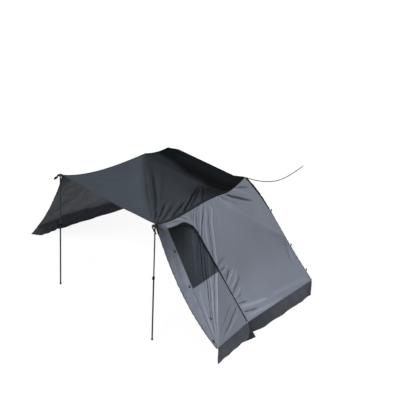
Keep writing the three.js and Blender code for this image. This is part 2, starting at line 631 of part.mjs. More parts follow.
// Webbing loop for a ground peg, sewn on the outer face at a wall's rear foot corner
function buildPegLoop(side, name) {
  const lift = cloth / 2 + loopGap + pegLoop.thick / 2;
  const place = moved(side, [REAR, 1], sideInset + pegLoop.width / 2, -pegLoop.rise);
  const loop = new THREE.BoxGeometry(pegLoop.width, pegLoop.length, pegLoop.thick);
  onWall(add(`peg_loop_${name}`, loop, materials.webbing), side, place, lift);
}

// Webbing strap sewn along the foot of the left wall on its inner face
function buildInnerStrap() {
  const { from, to, down } = innerStrapShares;
  const low = steps(8, (x) => [mix(from, to, x), down]);
  const high = low.map((place) => moved(leftSide, place, 0, -innerStrap.width));
  const geometry = panel(leftSide, low, high, 1, innerStrap.thick, -(cloth + innerStrap.thick) / 2 - seamGap);
  add('inner_strap_left', geometry, materials.webbing);
}

// Corner strap: the buckle under the wing corner, the strap that hangs from it, and the hook on its end
function buildStrap() {
  const x = wingX(rightSide) - strapBuckle.width / 2;
  const [startY] = strapRoute[0];
  const top = wingHeight - cloth - seamGap;
  const block = new THREE.BoxGeometry(strapBuckle.width, strapBuckle.thick, strapBuckle.height);
  const seatY = startY - clearance - strapBuckle.thick / 2;
  add('strap_buckle', block, materials.plastic, vec(x, seatY, top - strapBuckle.height / 2));
  const route = new THREE.CatmullRomCurve3(strapRoute.map(([y, height]) => vec(x, y, height)));
  add('strap_cord', cord(route, strap.radius, 72), materials.webbing);
  const end = route.getPointAt(1);
  const forward = route.getTangentAt(1);
  const half = strap.hookBar / 2;
  const inner = strap.hookReach - strap.hookBar;
  const shape = outline([
    [0, -half], [strap.hookReach, -half], [strap.hookReach, strap.hookLip], [inner, strap.hookLip], [inner, half], [0, half],
  ]);
  const hookShape = extruded(shape, strap.hookBar).translate(0, 0, -half).rotateX(Math.PI / 2).rotateZ(Math.PI / 2);
  const fitting = add('strap_hook', hookShape, materials.steel, end.addScaledVector(forward, clearance));
  fitting.rotation.x = Math.atan2(forward.z, forward.y);
}

buildRoof();
for (const [side, name] of [[rightSide, 'right'], [leftSide, 'left']]) {
  buildEdges(side, name);
  buildRearStrip(side, name);
  buildSkirt(side, side.mirrorShare > 0 ? 'door_skirt' : 'skirt_left_rear', footShares[HINGE], 1 - clearance / side.zipX);
  buildSkirt(side, `skirt_${name}_front`, 1 + clearance / side.zipX, 2);
  buildPole(side, name);
  buildCorner(side, name);
  buildPegLoop(side, name);
}
buildRightCloth();
buildLeftCloth();
buildDoor();
buildSlider();
buildToggles();
buildHooks(rightSide, 'right', hookShares);
buildHooks(leftSide, 'left', hookShares.slice(0, 2));
buildInnerStrap();
buildStrap();

// Lowered so that the origin lies on the hem band's outer face
tent.position.z = hem.deep / 2 - hem.height;
export default tent;
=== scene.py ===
"""Vehicle rear tent: canopy, walls and skirts on two telescopic poles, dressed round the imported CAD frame."""

import json
import math

import bpy
import numpy as np
from bpy.props import FloatProperty, FloatVectorProperty, IntProperty, PointerProperty
from mathutils import Matrix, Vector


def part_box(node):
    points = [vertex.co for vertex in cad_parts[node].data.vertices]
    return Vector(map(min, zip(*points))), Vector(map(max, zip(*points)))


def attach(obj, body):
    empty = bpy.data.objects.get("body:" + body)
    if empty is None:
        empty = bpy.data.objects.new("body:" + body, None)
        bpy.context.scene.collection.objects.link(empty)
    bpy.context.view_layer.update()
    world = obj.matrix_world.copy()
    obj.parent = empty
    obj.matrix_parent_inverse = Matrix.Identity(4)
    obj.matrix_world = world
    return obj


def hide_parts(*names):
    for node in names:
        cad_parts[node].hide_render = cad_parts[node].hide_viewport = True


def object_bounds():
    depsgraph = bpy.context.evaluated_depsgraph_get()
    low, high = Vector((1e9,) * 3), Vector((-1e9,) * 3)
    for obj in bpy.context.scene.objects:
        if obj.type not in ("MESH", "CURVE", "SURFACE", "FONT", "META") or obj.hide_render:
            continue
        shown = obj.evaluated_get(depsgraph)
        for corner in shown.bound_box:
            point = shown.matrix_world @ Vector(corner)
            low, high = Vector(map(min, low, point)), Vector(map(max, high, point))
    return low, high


bl_info = {
    "name": "Vehicle rear tent",
    "version": (1, 0, 0),
    "blender": (4, 5, 0),
    "location": "View3D > Sidebar > Tent",
    "description": "Builds a tent that hangs from the back of a vehicle's roof load",
    "category": "Add Mesh",
}

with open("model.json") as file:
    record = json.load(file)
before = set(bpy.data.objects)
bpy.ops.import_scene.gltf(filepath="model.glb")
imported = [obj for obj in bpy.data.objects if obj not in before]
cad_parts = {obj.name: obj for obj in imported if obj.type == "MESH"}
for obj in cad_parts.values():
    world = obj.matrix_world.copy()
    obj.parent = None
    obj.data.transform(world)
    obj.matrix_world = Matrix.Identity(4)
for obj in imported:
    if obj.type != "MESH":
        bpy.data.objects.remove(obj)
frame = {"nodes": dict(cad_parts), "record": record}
cad_low, cad_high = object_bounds()

# Places in metres in the frame's axes; heights count from the ground, the lowest point of the CAD model
GROUND = cad_low.z
HEM_LOW, HEM_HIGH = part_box("hem_band")
CAD_CLOTH = 0.004
CORNER = np.array((1.168, -2.092, GROUND + 2.040))
KINK = np.array((1.010, -0.450, GROUND + 2.050))
WING_HEIGHT = 2.090
WING_SAG = 0.028
EDGE_SAG = 0.074
EDGE_INSET = 0.055
MIDDLE_SAG = 0.070
REAR_SAG = 0.022
RIDGE = 0.046
RIDGE_WIDTH = 0.420
BELLY = 0.026
FRONT_BOW = 0.070

# Sizes in metres of what is sewn or clipped on; a lift is a height over the cloth
PIPING_RADIUS = 0.005
BINDING = (0.0075, 0.005)
ZIP_HALF = 0.011
ZIP_INSET = ZIP_HALF * 0.9
TAIL_WIDTH, TAIL_THICK, TAIL_LENGTH, TAIL_LEAN, TAIL_SWAY = 0.034, 0.0026, 0.130, 0.87, 0.0012
REAR_BAND, REAR_BAND_THICK = 0.032, 0.0035
STITCH_ROWS, STITCH_WIDTH = (0.005, 0.011), 0.0011
TAPE_THICK, TAPE_LIFT = 0.0024, 0.0022
TEETH_RADIUS, TEETH_LIFT, TEETH_PITCH, TEETH_GAP = 0.0016, 0.0040, 0.0046, 0.0013
WELT_RADIUS, WELT_LIFT = 0.0028, 0.0006
FOOT_STRAP_WIDTH, FOOT_STRAP_THICK, FOOT_STRAP_INSET = 0.036, 0.004, 0.009
BINDING_WAVE = 0.0025
MESH_PITCH, RIB_PITCH, TWILL_PITCH = 0.0022, 0.0021, 0.0016
TOGGLE_RADIUS, TOGGLE_TIP, HOOK_GROWTH = 0.0068, 0.006, 0.005
FLOOR_REACH, FLOOR_DROP, FLOOR_WHITE = 90.0, 0.002, 1.10

# Camera: its place, its heading, fall and roll in degrees, and its focal length in picture widths
CAMERA_PLACE, CAMERA_TURN, CAMERA_FOCAL = (16.81, -15.86, GROUND + 12.24), (46.8, 25.1, 2.3), 1499 / 400

# A swept piece's rounded tip: how far back from its point each ring is, and the ring's size
TIP_SHARES = ((0.0, 0.45), (0.35, 0.8), (0.75, 0.97))

# Turned pieces: walls, gaps and heights, and steps of their profiles from a radius and a height as (out, up)
TURNED_EDGE, LEVER_EDGE, BUCKLE_EDGE, FITTING_EDGE = 0.0004, 0.0012, 0.0009, 0.0008
WELD_GAP = 0.00002
TUBE_WALL, TUBE_GAP = 0.0015, 0.0003
SHOE_FLOOR, SHOE_WALL, SHOE_NECK = 0.006, 0.002, 0.026
SHOE_RIM = ((-0.003, 0), (0, 0.003), (0, 0.006), (-0.002, 0.008), (-0.001, 0.012), (-0.003, 0.014),
            (-0.002, 0.019))
COLLAR_LIP, COLLAR_STOP = 0.016, 0.0006
COLLAR_FOOT, COLLAR_TOP = ((-0.002, 0), (0, 0.002)), ((0, -COLLAR_LIP), (0, -0.004), (-0.003, 0))
GRIP, GRIP_PITCH, GRIP_COUNT = ((0, 0), (-0.0014, 0.0012), (-0.0014, 0.0030), (0, 0.0042)), 0.006, 5
SPIKE_NECK, SPIKE_HEAD = 0.052, 0.014
SPIKE_SHOULDER = ((0.0064, -0.004), (0.0064, 0), (0.004, 0.0005))
SPIKE_TIP = ((0.004, -0.006), (0.0032, -0.002), (0.0012, 0))
TAB_HOLE, TAB_FOOT = 0.0125, ((-0.001, 0), (0, 0.0015))
TAB_TOP = ((0, -0.0012), (-0.001, 0), (-0.006, -0.0008), (-0.008, 0))
EYELET_BORE, EYELET_NECK, EYELET_GAP, EYELET_RIM, EYELET_BEVEL = 0.0072, 0.0122, 0.0023, 0.002, 0.001

# Body and finish of each turned piece of a pole
POLE_PIECES = {
    "lower_tube": ("lower", "pole_metal"), "upper_tube": ("upper", "pole_metal"), "shoe": ("lower", "rubber"),
    "collar": ("lower", "plastic"), "spike": ("upper", "steel"),
}

# Each wall: its sign along X, its wing corner and feet as (x, y), the foot's height, how far the rear edge
# bows and drops, and how the skirt flares: tail, flap, tuck and toe are (out, forward) moves of its loose
# corners.
RIGHT = {
    "sign": 1, "name": "right", "wing": (0.80, 0.17), "feet": ((2.36, -1.80), (2.06, -0.85), (1.70, 1.01)),
    "foot": 0.25, "bow": 0.070, "drop": 0.120, "flare": 0.048,
    "moves": ((0.002, -0.050), (0.072, 0.090), (-0.078, 0.180), (0.002, -0.050)),
}
LEFT = {
    "sign": -1, "name": "left", "wing": (0.90, -0.03), "feet": ((2.86, -1.39), (2.89, -0.85), (2.79, 1.00)),
    "foot": 0.22, "bow": -0.012, "drop": 0.100, "flare": 0.016,
    "moves": ((0.214, -0.020), (0.012, 0.020), (-0.016, 0.060), (0.004, -0.040)),
}

# Shares along the roof's side edge and along the wall's foot of the lines down a wall
EDGE_SHARES = (0, 0.13, 0.45, 1, 2)
FOOT_SHARES = (0, 0.03, 1, 1.587, 2)
REAR, HINGE, ZIP, KINK_LINE, FRONT = range(5)
SEAM_SHARE = 0.27
WINDOW_SHARE = 0.527
BINDING_SHARES = (0.012, 0.996)
ARCH_START_SHARE, ARCH_TOP_SHARE, ARCH_END_SHARE, ARCH_FROM_SHARE = 0.052, 0.058, 0.2, 1.6

# Attach panel: how far back from the hem its black ends, by share across
GREY_BORDER_SHARES = ((-1, 0.16), (-0.9, 0.19), (-0.5, 0.20), (-0.1, 0.25), (0.3, 0.265), (0.65, 0.31),
                      (0.93, 0.30), (1, 0.25))

# Route of the corner strap beside the wing corner, as (y, height above the ground)
STRAP_X = 0.788
STRAP_THICK = 0.014
STRAP_ROUTE = (
    (0.152, 2.074), (0.174, 2.073), (0.2, 2.063), (0.29, 2.017), (0.38, 1.974), (0.47, 1.935), (0.56, 1.898),
    (0.65, 1.866), (0.74, 1.838), (0.83, 1.815), (0.92, 1.799), (1.01, 1.791), (1.1, 1.792), (1.19, 1.801),
    (1.28, 1.817), (1.37, 1.838), (1.46, 1.862), (1.55, 1.889),
)

# Folds of the roof: places on it as shares across (-1 left to 1 right) and back from hem (0) to poles (1),
# from the fold's tight end to its wide one, then its half width and height in metres and its painted shade
# (-1 dark to 1 light), which is painted into the cloth's colour
ROOF_FOLD_SHARES = (
    (((0.943, 0.978), (0.663, 0.833), (0.303, 0.677), (-0.037, 0.552), (-0.393, 0.435), (-0.693, 0.348)),
     0.024, -0.026, -1.1),
    (((0.937, 0.988), (0.637, 0.853), (0.23, 0.698), (-0.247, 0.532), (-0.747, 0.375)), 0.022, 0.018, 0.45),
    (((0.9, 0.975), (0.627, 0.863), (0.113, 0.677), (-0.5, 0.468), (-0.907, 0.325)), 0.016, -0.01, -0.35),
    (((0.863, 0.912), (0.453, 0.703), (0, 0.522), (-0.377, 0.39)), 0.04, 0.02, 0.25),
    (((0.457, 0.69), (0.357, 0.638), (-0.047, 0.46), (-0.467, 0.297)), 0.024, -0.008, -0.25),
    (((0.985, 0.985), (0.897, 0.925), (0.763, 0.84), (0.523, 0.68), (0.46, 0.62)), 0.015, -0.018, -1.6),
    (((0.97, 0.965), (0.847, 0.865), (0.62, 0.703), (0.487, 0.585)), 0.018, 0.015, 0.9),
    (((0.96, 0.94), (0.86, 0.85), (0.687, 0.695), (0.61, 0.623)), 0.016, -0.016, -1.5),
    (((0.96, 0.88), (0.82, 0.748), (0.7, 0.635), (0.583, 0.53)), 0.02, 0.014, 0.8),
    (((0.96, 0.815), (0.867, 0.73), (0.753, 0.605), (0.66, 0.52)), 0.018, -0.02, -1.6),
    (((0.96, 0.735), (0.843, 0.63), (0.643, 0.473), (0.56, 0.42)), 0.02, 0.015, 0.8),
    (((0.96, 0.69), (0.887, 0.628), (0.727, 0.508), (0.543, 0.37), (0.43, 0.285)), 0.025, -0.03, -1.6),
    (((0.94, 0.63), (0.773, 0.505), (0.57, 0.36), (0.43, 0.275)), 0.011, 0.018, 1.2),
    (((0.96, 0.6), (0.853, 0.54), (0.657, 0.405), (0.47, 0.29)), 0.016, -0.016, -1.5),
    (((0.96, 0.53), (0.863, 0.48), (0.703, 0.393), (0.48, 0.285)), 0.014, 0.012, 0.8),
    (((0.965, 0.49), (0.933, 0.473), (0.733, 0.383), (0.46, 0.275)), 0.018, -0.017, -1.4),
    (((0.95, 0.425), (0.747, 0.335), (0.54, 0.245)), 0.02, -0.009, -0.4),
    (((-0.96, 0.95), (-0.6, 0.76), (-0.3, 0.64)), 0.06, 0.007, 0.1),
    (((-0.97, 0.9), (-0.72, 0.64), (-0.6, 0.5)), 0.05, 0.006, 0.1),
    (((-0.97, 0.36), (-0.6, 0.34), (-0.2, 0.33)), 0.045, 0.007, 0.1),
)

# Folds of a wall: places on it as the line number across and the share down, from the upper to the lower
# end, then half width, height and painted shade. The long ones pull from the roof's kink to the rear foot
# corner.
WALL_FOLD_SHARES = (
    (((2.11, 0), (2.065, 0.048), (2.01, 0.085)), 0.011, -0.008, -0.8),
    (((2.21, 0.008), (2.11, 0.055), (2.03, 0.1)), 0.011, -0.009, -0.9),
    (((2.245, 0.007), (2.15, 0.055), (2.065, 0.103), (1.98, 0.15)), 0.012, 0.008, 0.6),
    (((2.3, 0), (2.165, 0.068), (2.09, 0.118), (2.03, 0.17)), 0.013, -0.013, -1.1),
    (((2.36, 0.003), (2.22, 0.077), (2.08, 0.15)), 0.01, -0.007, -0.6),
    (((2.41, 0.002), (2.28, 0.07), (2.1, 0.165), (1.95, 0.26)), 0.013, 0.01, 0.7),
    (((2.47, 0), (2.32, 0.08), (2.155, 0.158), (2.045, 0.23), (1.85, 0.35), (1.605, 0.485), (1.545, 0.527),
      (1.32, 0.675), (1.175, 0.782), (1.085, 0.895), (1.05, 0.985)), 0.012, -0.02, -1.6),
    (((2.13, 0.13), (2, 0.2), (1.885, 0.27), (1.72, 0.357), (1.545, 0.443), (1.435, 0.525), (1.3, 0.62)),
     0.011, -0.014, -1.5),
    (((1.95, 0.2), (1.875, 0.242), (1.675, 0.302), (1.5, 0.37)), 0.012, -0.008, -0.9),
    (((1.96, 0.29), (1.84, 0.355), (1.64, 0.445), (1.49, 0.525)), 0.01, 0.009, 1),
    (((1.62, 0.53), (1.55, 0.573), (1.305, 0.718), (1.12, 0.865), (1.045, 0.96)), 0.009, -0.01, -1.3),
    (((2.515, 0.01), (2.42, 0.11), (2.27, 0.21), (2.135, 0.335), (2.02, 0.422), (1.835, 0.535),
      (1.535, 0.66), (1.31, 0.79), (1.095, 0.948), (1.07, 0.99)), 0.01, -0.014, -1.2),
    (((2.51, 0), (2.355, 0.105), (2.235, 0.175), (2.1, 0.288), (1.9, 0.405), (1.64, 0.547), (1.41, 0.69),
      (1.2, 0.82), (1.075, 0.943), (1.055, 0.99)), 0.014, 0.013, 1),
    (((2.56, 0.01), (2.53, 0.092), (2.39, 0.18), (2.26, 0.285), (2.115, 0.405), (2.005, 0.487),
      (1.9, 0.537), (1.605, 0.672), (1.355, 0.8), (1.11, 0.95), (1.08, 0.99)), 0.017, 0.02, 1.2),
    (((2.7, 0), (2.6, 0.16), (2.46, 0.33)), 0.03, 0.004, 0.1),
    (((2.02, 0.08), (1.95, 0.113), (1.72, 0.23), (1.5, 0.338), (1.365, 0.417), (1.285, 0.52)),
     0.034, 0.012, 0.4),
    (((1.7, 0.058), (1.405, 0.16), (1.19, 0.26), (1, 0.372)), 0.03, -0.008, -0.3),
    (((1.02, 0.547), (1.01, 0.657), (1.005, 0.772), (1.015, 0.89), (1.035, 0.98)), 0.013, -0.009, -0.5),
    (((1.205, 0.557), (1.12, 0.675), (1.055, 0.807), (1.045, 0.96)), 0.024, 0.014, 0.4),
    (((1.98, 0.838), (1.75, 0.878), (1.51, 0.925), (1.21, 0.975)), 0.014, -0.014, -1.1),
    (((1.865, 0.802), (1.725, 0.82), (1.375, 0.888), (1.2, 0.935)), 0.012, -0.008, -0.6),
    (((1.9, 0.9), (1.745, 0.912), (1.485, 0.953), (1.265, 0.983)), 0.02, 0.013, 0.8),
    (((2.04, 0.487), (2.165, 0.463), (2.305, 0.448)), 0.013, -0.011, -0.9),
    (((2.045, 0.508), (2.17, 0.5), (2.28, 0.492)), 0.014, 0.01, 0.6),
    (((2.03, 0.53), (2.12, 0.532), (2.18, 0.532)), 0.011, -0.01, -1.3),
    (((2.03, 0.57), (2.135, 0.547), (2.29, 0.52)), 0.018, 0.014, 0.8),
    (((2.01, 0.63), (2.115, 0.598), (2.26, 0.555)), 0.012, -0.015, -1.6),
    (((2.02, 0.654), (2.155, 0.615), (2.36, 0.565)), 0.02, 0.015, 1),
    (((2.04, 0.705), (2.22, 0.657), (2.4, 0.575)), 0.022, 0.016, 0.7),
    (((2.01, 0.745), (2.14, 0.715), (2.4, 0.64)), 0.013, -0.015, -1.5),
    (((2.02, 0.775), (2.145, 0.753), (2.29, 0.72)), 0.016, 0.013, 0.9),
    (((2.02, 0.791), (2.14, 0.787), (2.22, 0.765)), 0.011, -0.01, -1.2),
    (((2.02, 0.834), (2.175, 0.848), (2.25, 0.852)), 0.012, -0.012, -1.3),
    (((2.03, 0.866), (2.21, 0.888), (2.52, 0.918), (2.7, 0.925)), 0.034, 0.018, 0.9),
    (((2.03, 0.912), (2.195, 0.93), (2.42, 0.955)), 0.013, -0.014, -1.3),
    (((2.06, 0.96), (2.285, 0.968), (2.695, 0.985), (3, 0.985)), 0.03, 0.012, 0.8),
    (((2.755, 0), (2.84, 0.052), (3, 0.14)), 0.014, 0.01, 0.5),
    (((2.94, 0.006), (3.065, 0.03), (3.265, 0.077), (3.745, 0.19)), 0.026, -0.02, -1.5),
    (((2.82, 0), (2.93, 0.052), (3.2, 0.14)), 0.014, -0.01, -0.8),
    (((3.4, 0.004), (3.5, 0.015), (3.615, 0.028), (3.88, 0.085)), 0.018, -0.012, -1.1),
    (((3.3, 0.004), (3.48, 0.04), (3.7, 0.11)), 0.02, 0.01, 0.6),
    (((2.83, 0.1), (3.21, 0.28), (3.49, 0.39), (3.965, 0.56)), 0.07, 0.016, 0.2),
    (((3.96, 0.59), (3.83, 0.68), (3.765, 0.775)), 0.022, -0.01, -0.4),
    (((3.98, 0.64), (3.88, 0.74), (3.85, 0.83)), 0.022, 0.01, 0.3),
    (((3.99, 0.985), (3.59, 0.95), (2.9, 0.93), (2.555, 0.948)), 0.05, 0.014, 0.3),
    (((0.075, 0.022), (0.42, 0.04), (0.755, 0.055)), 0.01, -0.005, -1.2),
    (((0.1, 0.014), (0.62, 0.033), (1.025, 0.048)), 0.011, 0.005, 1),
    (((0.2, 0.006), (0.935, 0.015), (1.3, 0.017)), 0.008, -0.005, -1.1),
    (((0.25, 0.012), (1.07, 0.03), (1.4, 0.038)), 0.008, 0.004, 0.8),
    (((1.25, 0.01), (1.5, 0.026), (1.72, 0.05)), 0.008, -0.005, -1),
    (((1.45, 0.006), (1.7, 0.022), (1.88, 0.05)), 0.009, 0.006, 1),
    (((1.65, 0.002), (1.85, 0.026), (1.96, 0.062)), 0.009, -0.006, -1.1),
    (((1.8, 0.002), (1.94, 0.03), (2.02, 0.072)), 0.009, 0.006, 0.9),
)


def rise(low, high, x):
    """Smooth step of x: 0 below low, 1 above high, 3t^2 - 2t^3 between."""
    t = np.clip((np.asarray(x, float) - low) / (high - low), 0, 1)
    return t * t * (3 - 2 * t)


def unit(v):
    """Vectors divided by their own length."""
    return v / np.maximum(np.linalg.norm(v, axis=-1, keepdims=True), 1e-12)


def along(values, x):
    """Value of the broken line through (index, values[index]) at x, carried on straight past both ends."""
    values, x = np.asarray(values, float), np.asarray(x, float)
    i = np.clip(np.floor(x).astype(int), 0, len(values) - 2)
    return values[i] + (values[i + 1] - values[i]) * (x - i)


def line_field(points, line):
    """Each point's distance to a broken line, and the length along the line up to the place nearest to it."""
    flat = points.reshape(-1, 3)
    step = np.diff(line, axis=0)
    size = (step ** 2).sum(-1)
    best = np.full(len(flat), np.inf)
    run = np.zeros(len(flat))
    before = np.concatenate([[0], np.cumsum(np.sqrt(size))])
    for start, move, squared, length in zip(line[:-1], step, size, before):
        share = np.clip((flat - start) @ move / squared, 0, 1)
        gap = np.linalg.norm(flat - start - share[:, None] * move, axis=-1)
        closer = gap < best
        best = np.where(closer, gap, best)
        run = np.where(closer, length + share * math.sqrt(squared), run)
    return best.reshape(points.shape[:-1]), run.reshape(points.shape[:-1])


def ripple(points, length, seed):
    """Soft unevenness from -1 to 1: the sum of sine waves about one length long, in fixed directions."""
    draw = np.random.default_rng(seed)
    waves = unit(draw.normal(size=(9, 3))) * draw.uniform(0.6, 1.5, (9, 1)) * 2 * math.pi / length
    return np.sin(points @ waves.T + draw.uniform(0, 2 * math.pi, 9)).sum(-1) / 4


def folds_over(points, folds, place, narrow):
    """Fold heights summed over the points, and the folds' painted shade from -1 in the valleys to 1 on the
    crests, later multiplied into the cloth's colour. A fold is half bell, half tent of the distance to its
    line, its shade a bell. It fades at both ends of the line, and its width follows its narrow shares at the
    line's start, middle and end. The line wanders, as real folds do."""
    total = np.zeros(points.shape[:-1])
    shade = np.zeros(points.shape[:-1])
    bent = points + 0.006 * np.stack([ripple(points, 0.30, seed) for seed in (21, 22, 23)], -1)
    for shares, width, height, tint in folds:
        line = place(*np.array(shares, float).T)
        gap, run = line_field(bent, line)
        share = run / np.linalg.norm(np.diff(line, axis=0), axis=1).sum()
        wide = gap / (width * np.interp(share, (0, 0.5, 1), narrow))
        fade = rise(-0.02, 0.12, share) * (1 - rise(0.72, 1.0, share))
        total += height * fade * (np.exp(-wide ** 2) + np.exp(-1.5 * wide)) / 2
        # Painted shade of the fold: darker for a valley, lighter for a crest
        shade += tint * fade * np.exp(-1.3 * wide ** 2)
    return total, np.clip(shade, -1.6, 1.3)


def wing_corner(side):
    """Front corner of a wall, out beyond the hem band's end."""
    return np.array((side["wing"][0], side["wing"][1], GROUND + WING_HEIGHT))


def edge(side, e):
    """Roof side edge at e: pole corner 0, kink 1, wing corner 2. With the bow b = 6.75 e (1 - e), the rear
    stretch is drawn in by its inset times b times e and sags by its sag times b times (1 - e). The front
    stretch sags like a parabola."""
    e = np.asarray(e, float)
    a = e[..., None]
    bow = 6.75 * e * (1 - e)
    sag = np.stack([EDGE_INSET * bow * e, 0 * e, EDGE_SAG * bow * (1 - e)], -1)
    back = CORNER + (KINK - CORNER) * a - sag
    drop = np.stack([0 * e, 0 * e, WING_SAG * 4 * (e - 1) * (2 - e)], -1)
    ahead = KINK + (wing_corner(side) - KINK) * (a - 1) - drop
    return np.where(a <= 1, back, ahead) * (side["sign"], 1, 1)


def foot(side, b):
    """Wall's foot at b: rear corner 0, zip 1, front corner 2, straight between them."""
    x, y = (along(values, b) for values in zip(*side["feet"]))
    return np.stack([side["sign"] * x, y, np.full_like(x, GROUND + side["foot"])], -1)


def taut(side, s, t):
    """Wall before it hangs: straight from edge to foot, s lines across and share t down."""
    s, t = np.broadcast_arrays(np.asarray(s, float), np.asarray(t, float))
    top, low = edge(side, along(EDGE_SHARES, s)), foot(side, along(FOOT_SHARES, s))
    return top + (low - top) * t[..., None]


def wall_out(side, s, t):
    """Unit normal of the taut wall, away from the tent."""
    h = 0.01
    across = taut(side, s + h, t) - taut(side, s - h, t)
    down = taut(side, s, t + h) - taut(side, s, t - h)
    return unit(np.cross(across, down)) * -side["sign"]


def hanging(side, s, t):
    """Taut wall with its rear strip bowed back and dropped and its front cloth bellied in, all as 4t(1 - t),
    and its front edge bowed ahead as 9.48 t (1 - t)^3."""
    s, t = np.broadcast_arrays(np.asarray(s, float), np.asarray(t, float))
    arc = 4 * t * (1 - t)
    back = np.clip(HINGE - s, 0, None) * arc
    ahead = np.clip(s - ZIP, 0, None)
    p = taut(side, s, t) - np.stack([0 * s, side["bow"] * back, side["drop"] * back], -1)
    p[..., 1] += FRONT_BOW * 9.48 * t * (1 - t) ** 3 * rise(ZIP, FRONT, s)
    belly = BELLY * arc * np.sin(math.pi * ahead / (FRONT - ZIP))
    return p - wall_out(side, s, t) * belly[..., None]


def wall(side, s, t, lift=0.0):
    """Wall as it hangs, its folds included."""
    return folded_wall(side, s, t, lift)[0]


def folded_wall(side, s, t, lift=0.0):
    """Wall as it hangs, and its folds' painted shade, which goes into the cloth's colour: its creases down the
    kink line rounded by a mean over s, then pull folds and soft unevenness along the normal. Folds are
    flattened towards the bindings, the roof seam, the hinge line and the zip."""
    s, t = np.broadcast_arrays(np.asarray(s, float), np.asarray(t, float))
    round_off = 0.22 * rise(ZIP, ZIP + 0.6, s) * (1 - rise(FRONT - 0.5, FRONT, s))
    round_off = round_off * rise(0, 0.25, t) * (1 - t)
    base = sum(hanging(side, s + k * round_off, t) for k in (-1, -0.5, 0, 0.5, 1)) / 5
    top = rise(-0.01, 0.03, t)
    rim = rise(REAR, REAR + 0.35, s) * (1 - rise(FRONT - 0.08, FRONT, s))
    hinge = rise(0, 0.07, abs(s - HINGE))
    zip_line = np.where(t > ARCH_END_SHARE, 0.3 + 0.7 * rise(0, 0.09, abs(s - ZIP)), 1)
    low = 1 - 0.75 * rise(0.93, 1, t)
    cloth = bpy.context.scene.tent_cloth
    depth, shade = folds_over(base, WALL_FOLD_SHARES, lambda a, b: hanging(side, a, b), (0.8, 1.0, 0.6))
    depth *= cloth.fold_depth * (1 if side["sign"] > 0 else 0.75)
    depth += 0.007 * ripple(base, 0.45, 3) * rise(0, 0.3, t * (1 - t))
    calm = top * rim * hinge * zip_line * low
    return base + wall_out(side, s, t) * (lift + depth * calm)[..., None], shade * rim * (0.5 + 0.5 * calm)


def shifted(side, s, t, across, down):
    """The shares of a wall place after it moves by real lengths across and down."""
    h = 0.02
    here = taut(side, s, t)
    per_s = np.linalg.norm(taut(side, s + h, t) - here, axis=-1) / h
    per_t = np.linalg.norm(taut(side, s, t + h) - here, axis=-1) / h
    return s + across / per_s, t + down / per_t


def zip_shares(x):
    """Zip path at x from 0 to 1: along the door's top, a quarter turn round the arch, then straight down."""
    x = np.asarray(x, float)
    flat, bend = 0.2, 0.5
    turn = math.pi / 2 * np.clip((x - flat) / (bend - flat), 0, 1)
    s = np.where(x < flat, HINGE + (ARCH_FROM_SHARE - HINGE) * x / flat,
                 ARCH_FROM_SHARE + (ZIP - ARCH_FROM_SHARE) * np.sin(turn))
    top = ARCH_START_SHARE + (ARCH_TOP_SHARE - ARCH_START_SHARE) * x / flat
    arch = ARCH_END_SHARE + (ARCH_TOP_SHARE - ARCH_END_SHARE) * np.cos(turn)
    down = ARCH_END_SHARE + (1 - ARCH_END_SHARE) * (x - bend) / (1 - bend)
    return s, np.where(x < flat, top, np.where(x < bend, arch, down))


def zip_line(x, shift):
    """The zip path moved square to itself by a real length, outwards from the door where it is positive."""
    h = 0.01
    s, t = zip_shares(x)
    (s0, t0), (s1, t1) = zip_shares(np.maximum(x - h, 0)), zip_shares(np.minimum(x + h, 1))
    start = taut(RIGHT, s0, t0)
    across = np.linalg.norm(taut(RIGHT, s1, t0) - start, axis=-1) * np.sign(s1 - s0)
    down = np.linalg.norm(taut(RIGHT, s0, t1) - start, axis=-1) * np.sign(t1 - t0)
    length = np.hypot(across, down)
    return shifted(RIGHT, s, t, shift * down / length, -shift * across / length)


def hem_line(x):
    """Front edge of the roof: straight along the hem band, then out to the wing corners."""
    x = np.asarray(x, float)[..., None]
    right, left = wing_corner(RIGHT), wing_corner(LEFT) * (-1, 1, 1)
    corner = np.where(x < 0, left, right)
    share = HEM_HIGH.x / np.abs(corner[..., :1])
    out = np.abs(x)
    along_hem = np.sign(x) * HEM_HIGH.x * np.minimum(out / share, 1)
    seat = np.concatenate([along_hem, 0 * x + HEM_LOW.y, 0 * x + HEM_HIGH.z - CAD_CLOTH], -1)
    return seat + (corner - seat) * np.clip((out - share) / (1 - share), 0, None)


def stretched_roof(u, v):
    """Roof before its folds: straight across between the side edges, sagging by 1 - u^2 in the middle and at
    the rear, and drawn up in a ridge from the right pole corner to the left kink."""
    u, v = np.broadcast_arrays(np.asarray(u, float), np.asarray(v, float))
    e = np.where(v < SEAM_SHARE, 2 - v / SEAM_SHARE, (1 - v) / (1 - SEAM_SHARE))
    share = ((u + 1) / 2)[..., None]
    p = edge(LEFT, e) * (1 - share) + edge(RIGHT, e) * share
    wing = wing_corner(LEFT) * (-1, 1, 1) * (1 - share) + wing_corner(RIGHT) * share
    p = p + (hem_line(u) - wing) * np.clip(1 - v / SEAM_SHARE, 0, 1)[..., None]
    middle = 1 - u * u
    back = np.clip((v - SEAM_SHARE) / (1 - SEAM_SHARE), 0, 1)
    off = ((u + 1) / 2 - back) * 2 * KINK[0]
    ridge = RIDGE * np.exp(-(off / RIDGE_WIDTH) ** 2) * np.sin(math.pi * back)
    sag = MIDDLE_SAG * np.sin(math.pi * v) * rise(0, SEAM_SHARE, v) + REAR_SAG * v * v
    p[..., 2] += middle * (ridge - sag)
    return p


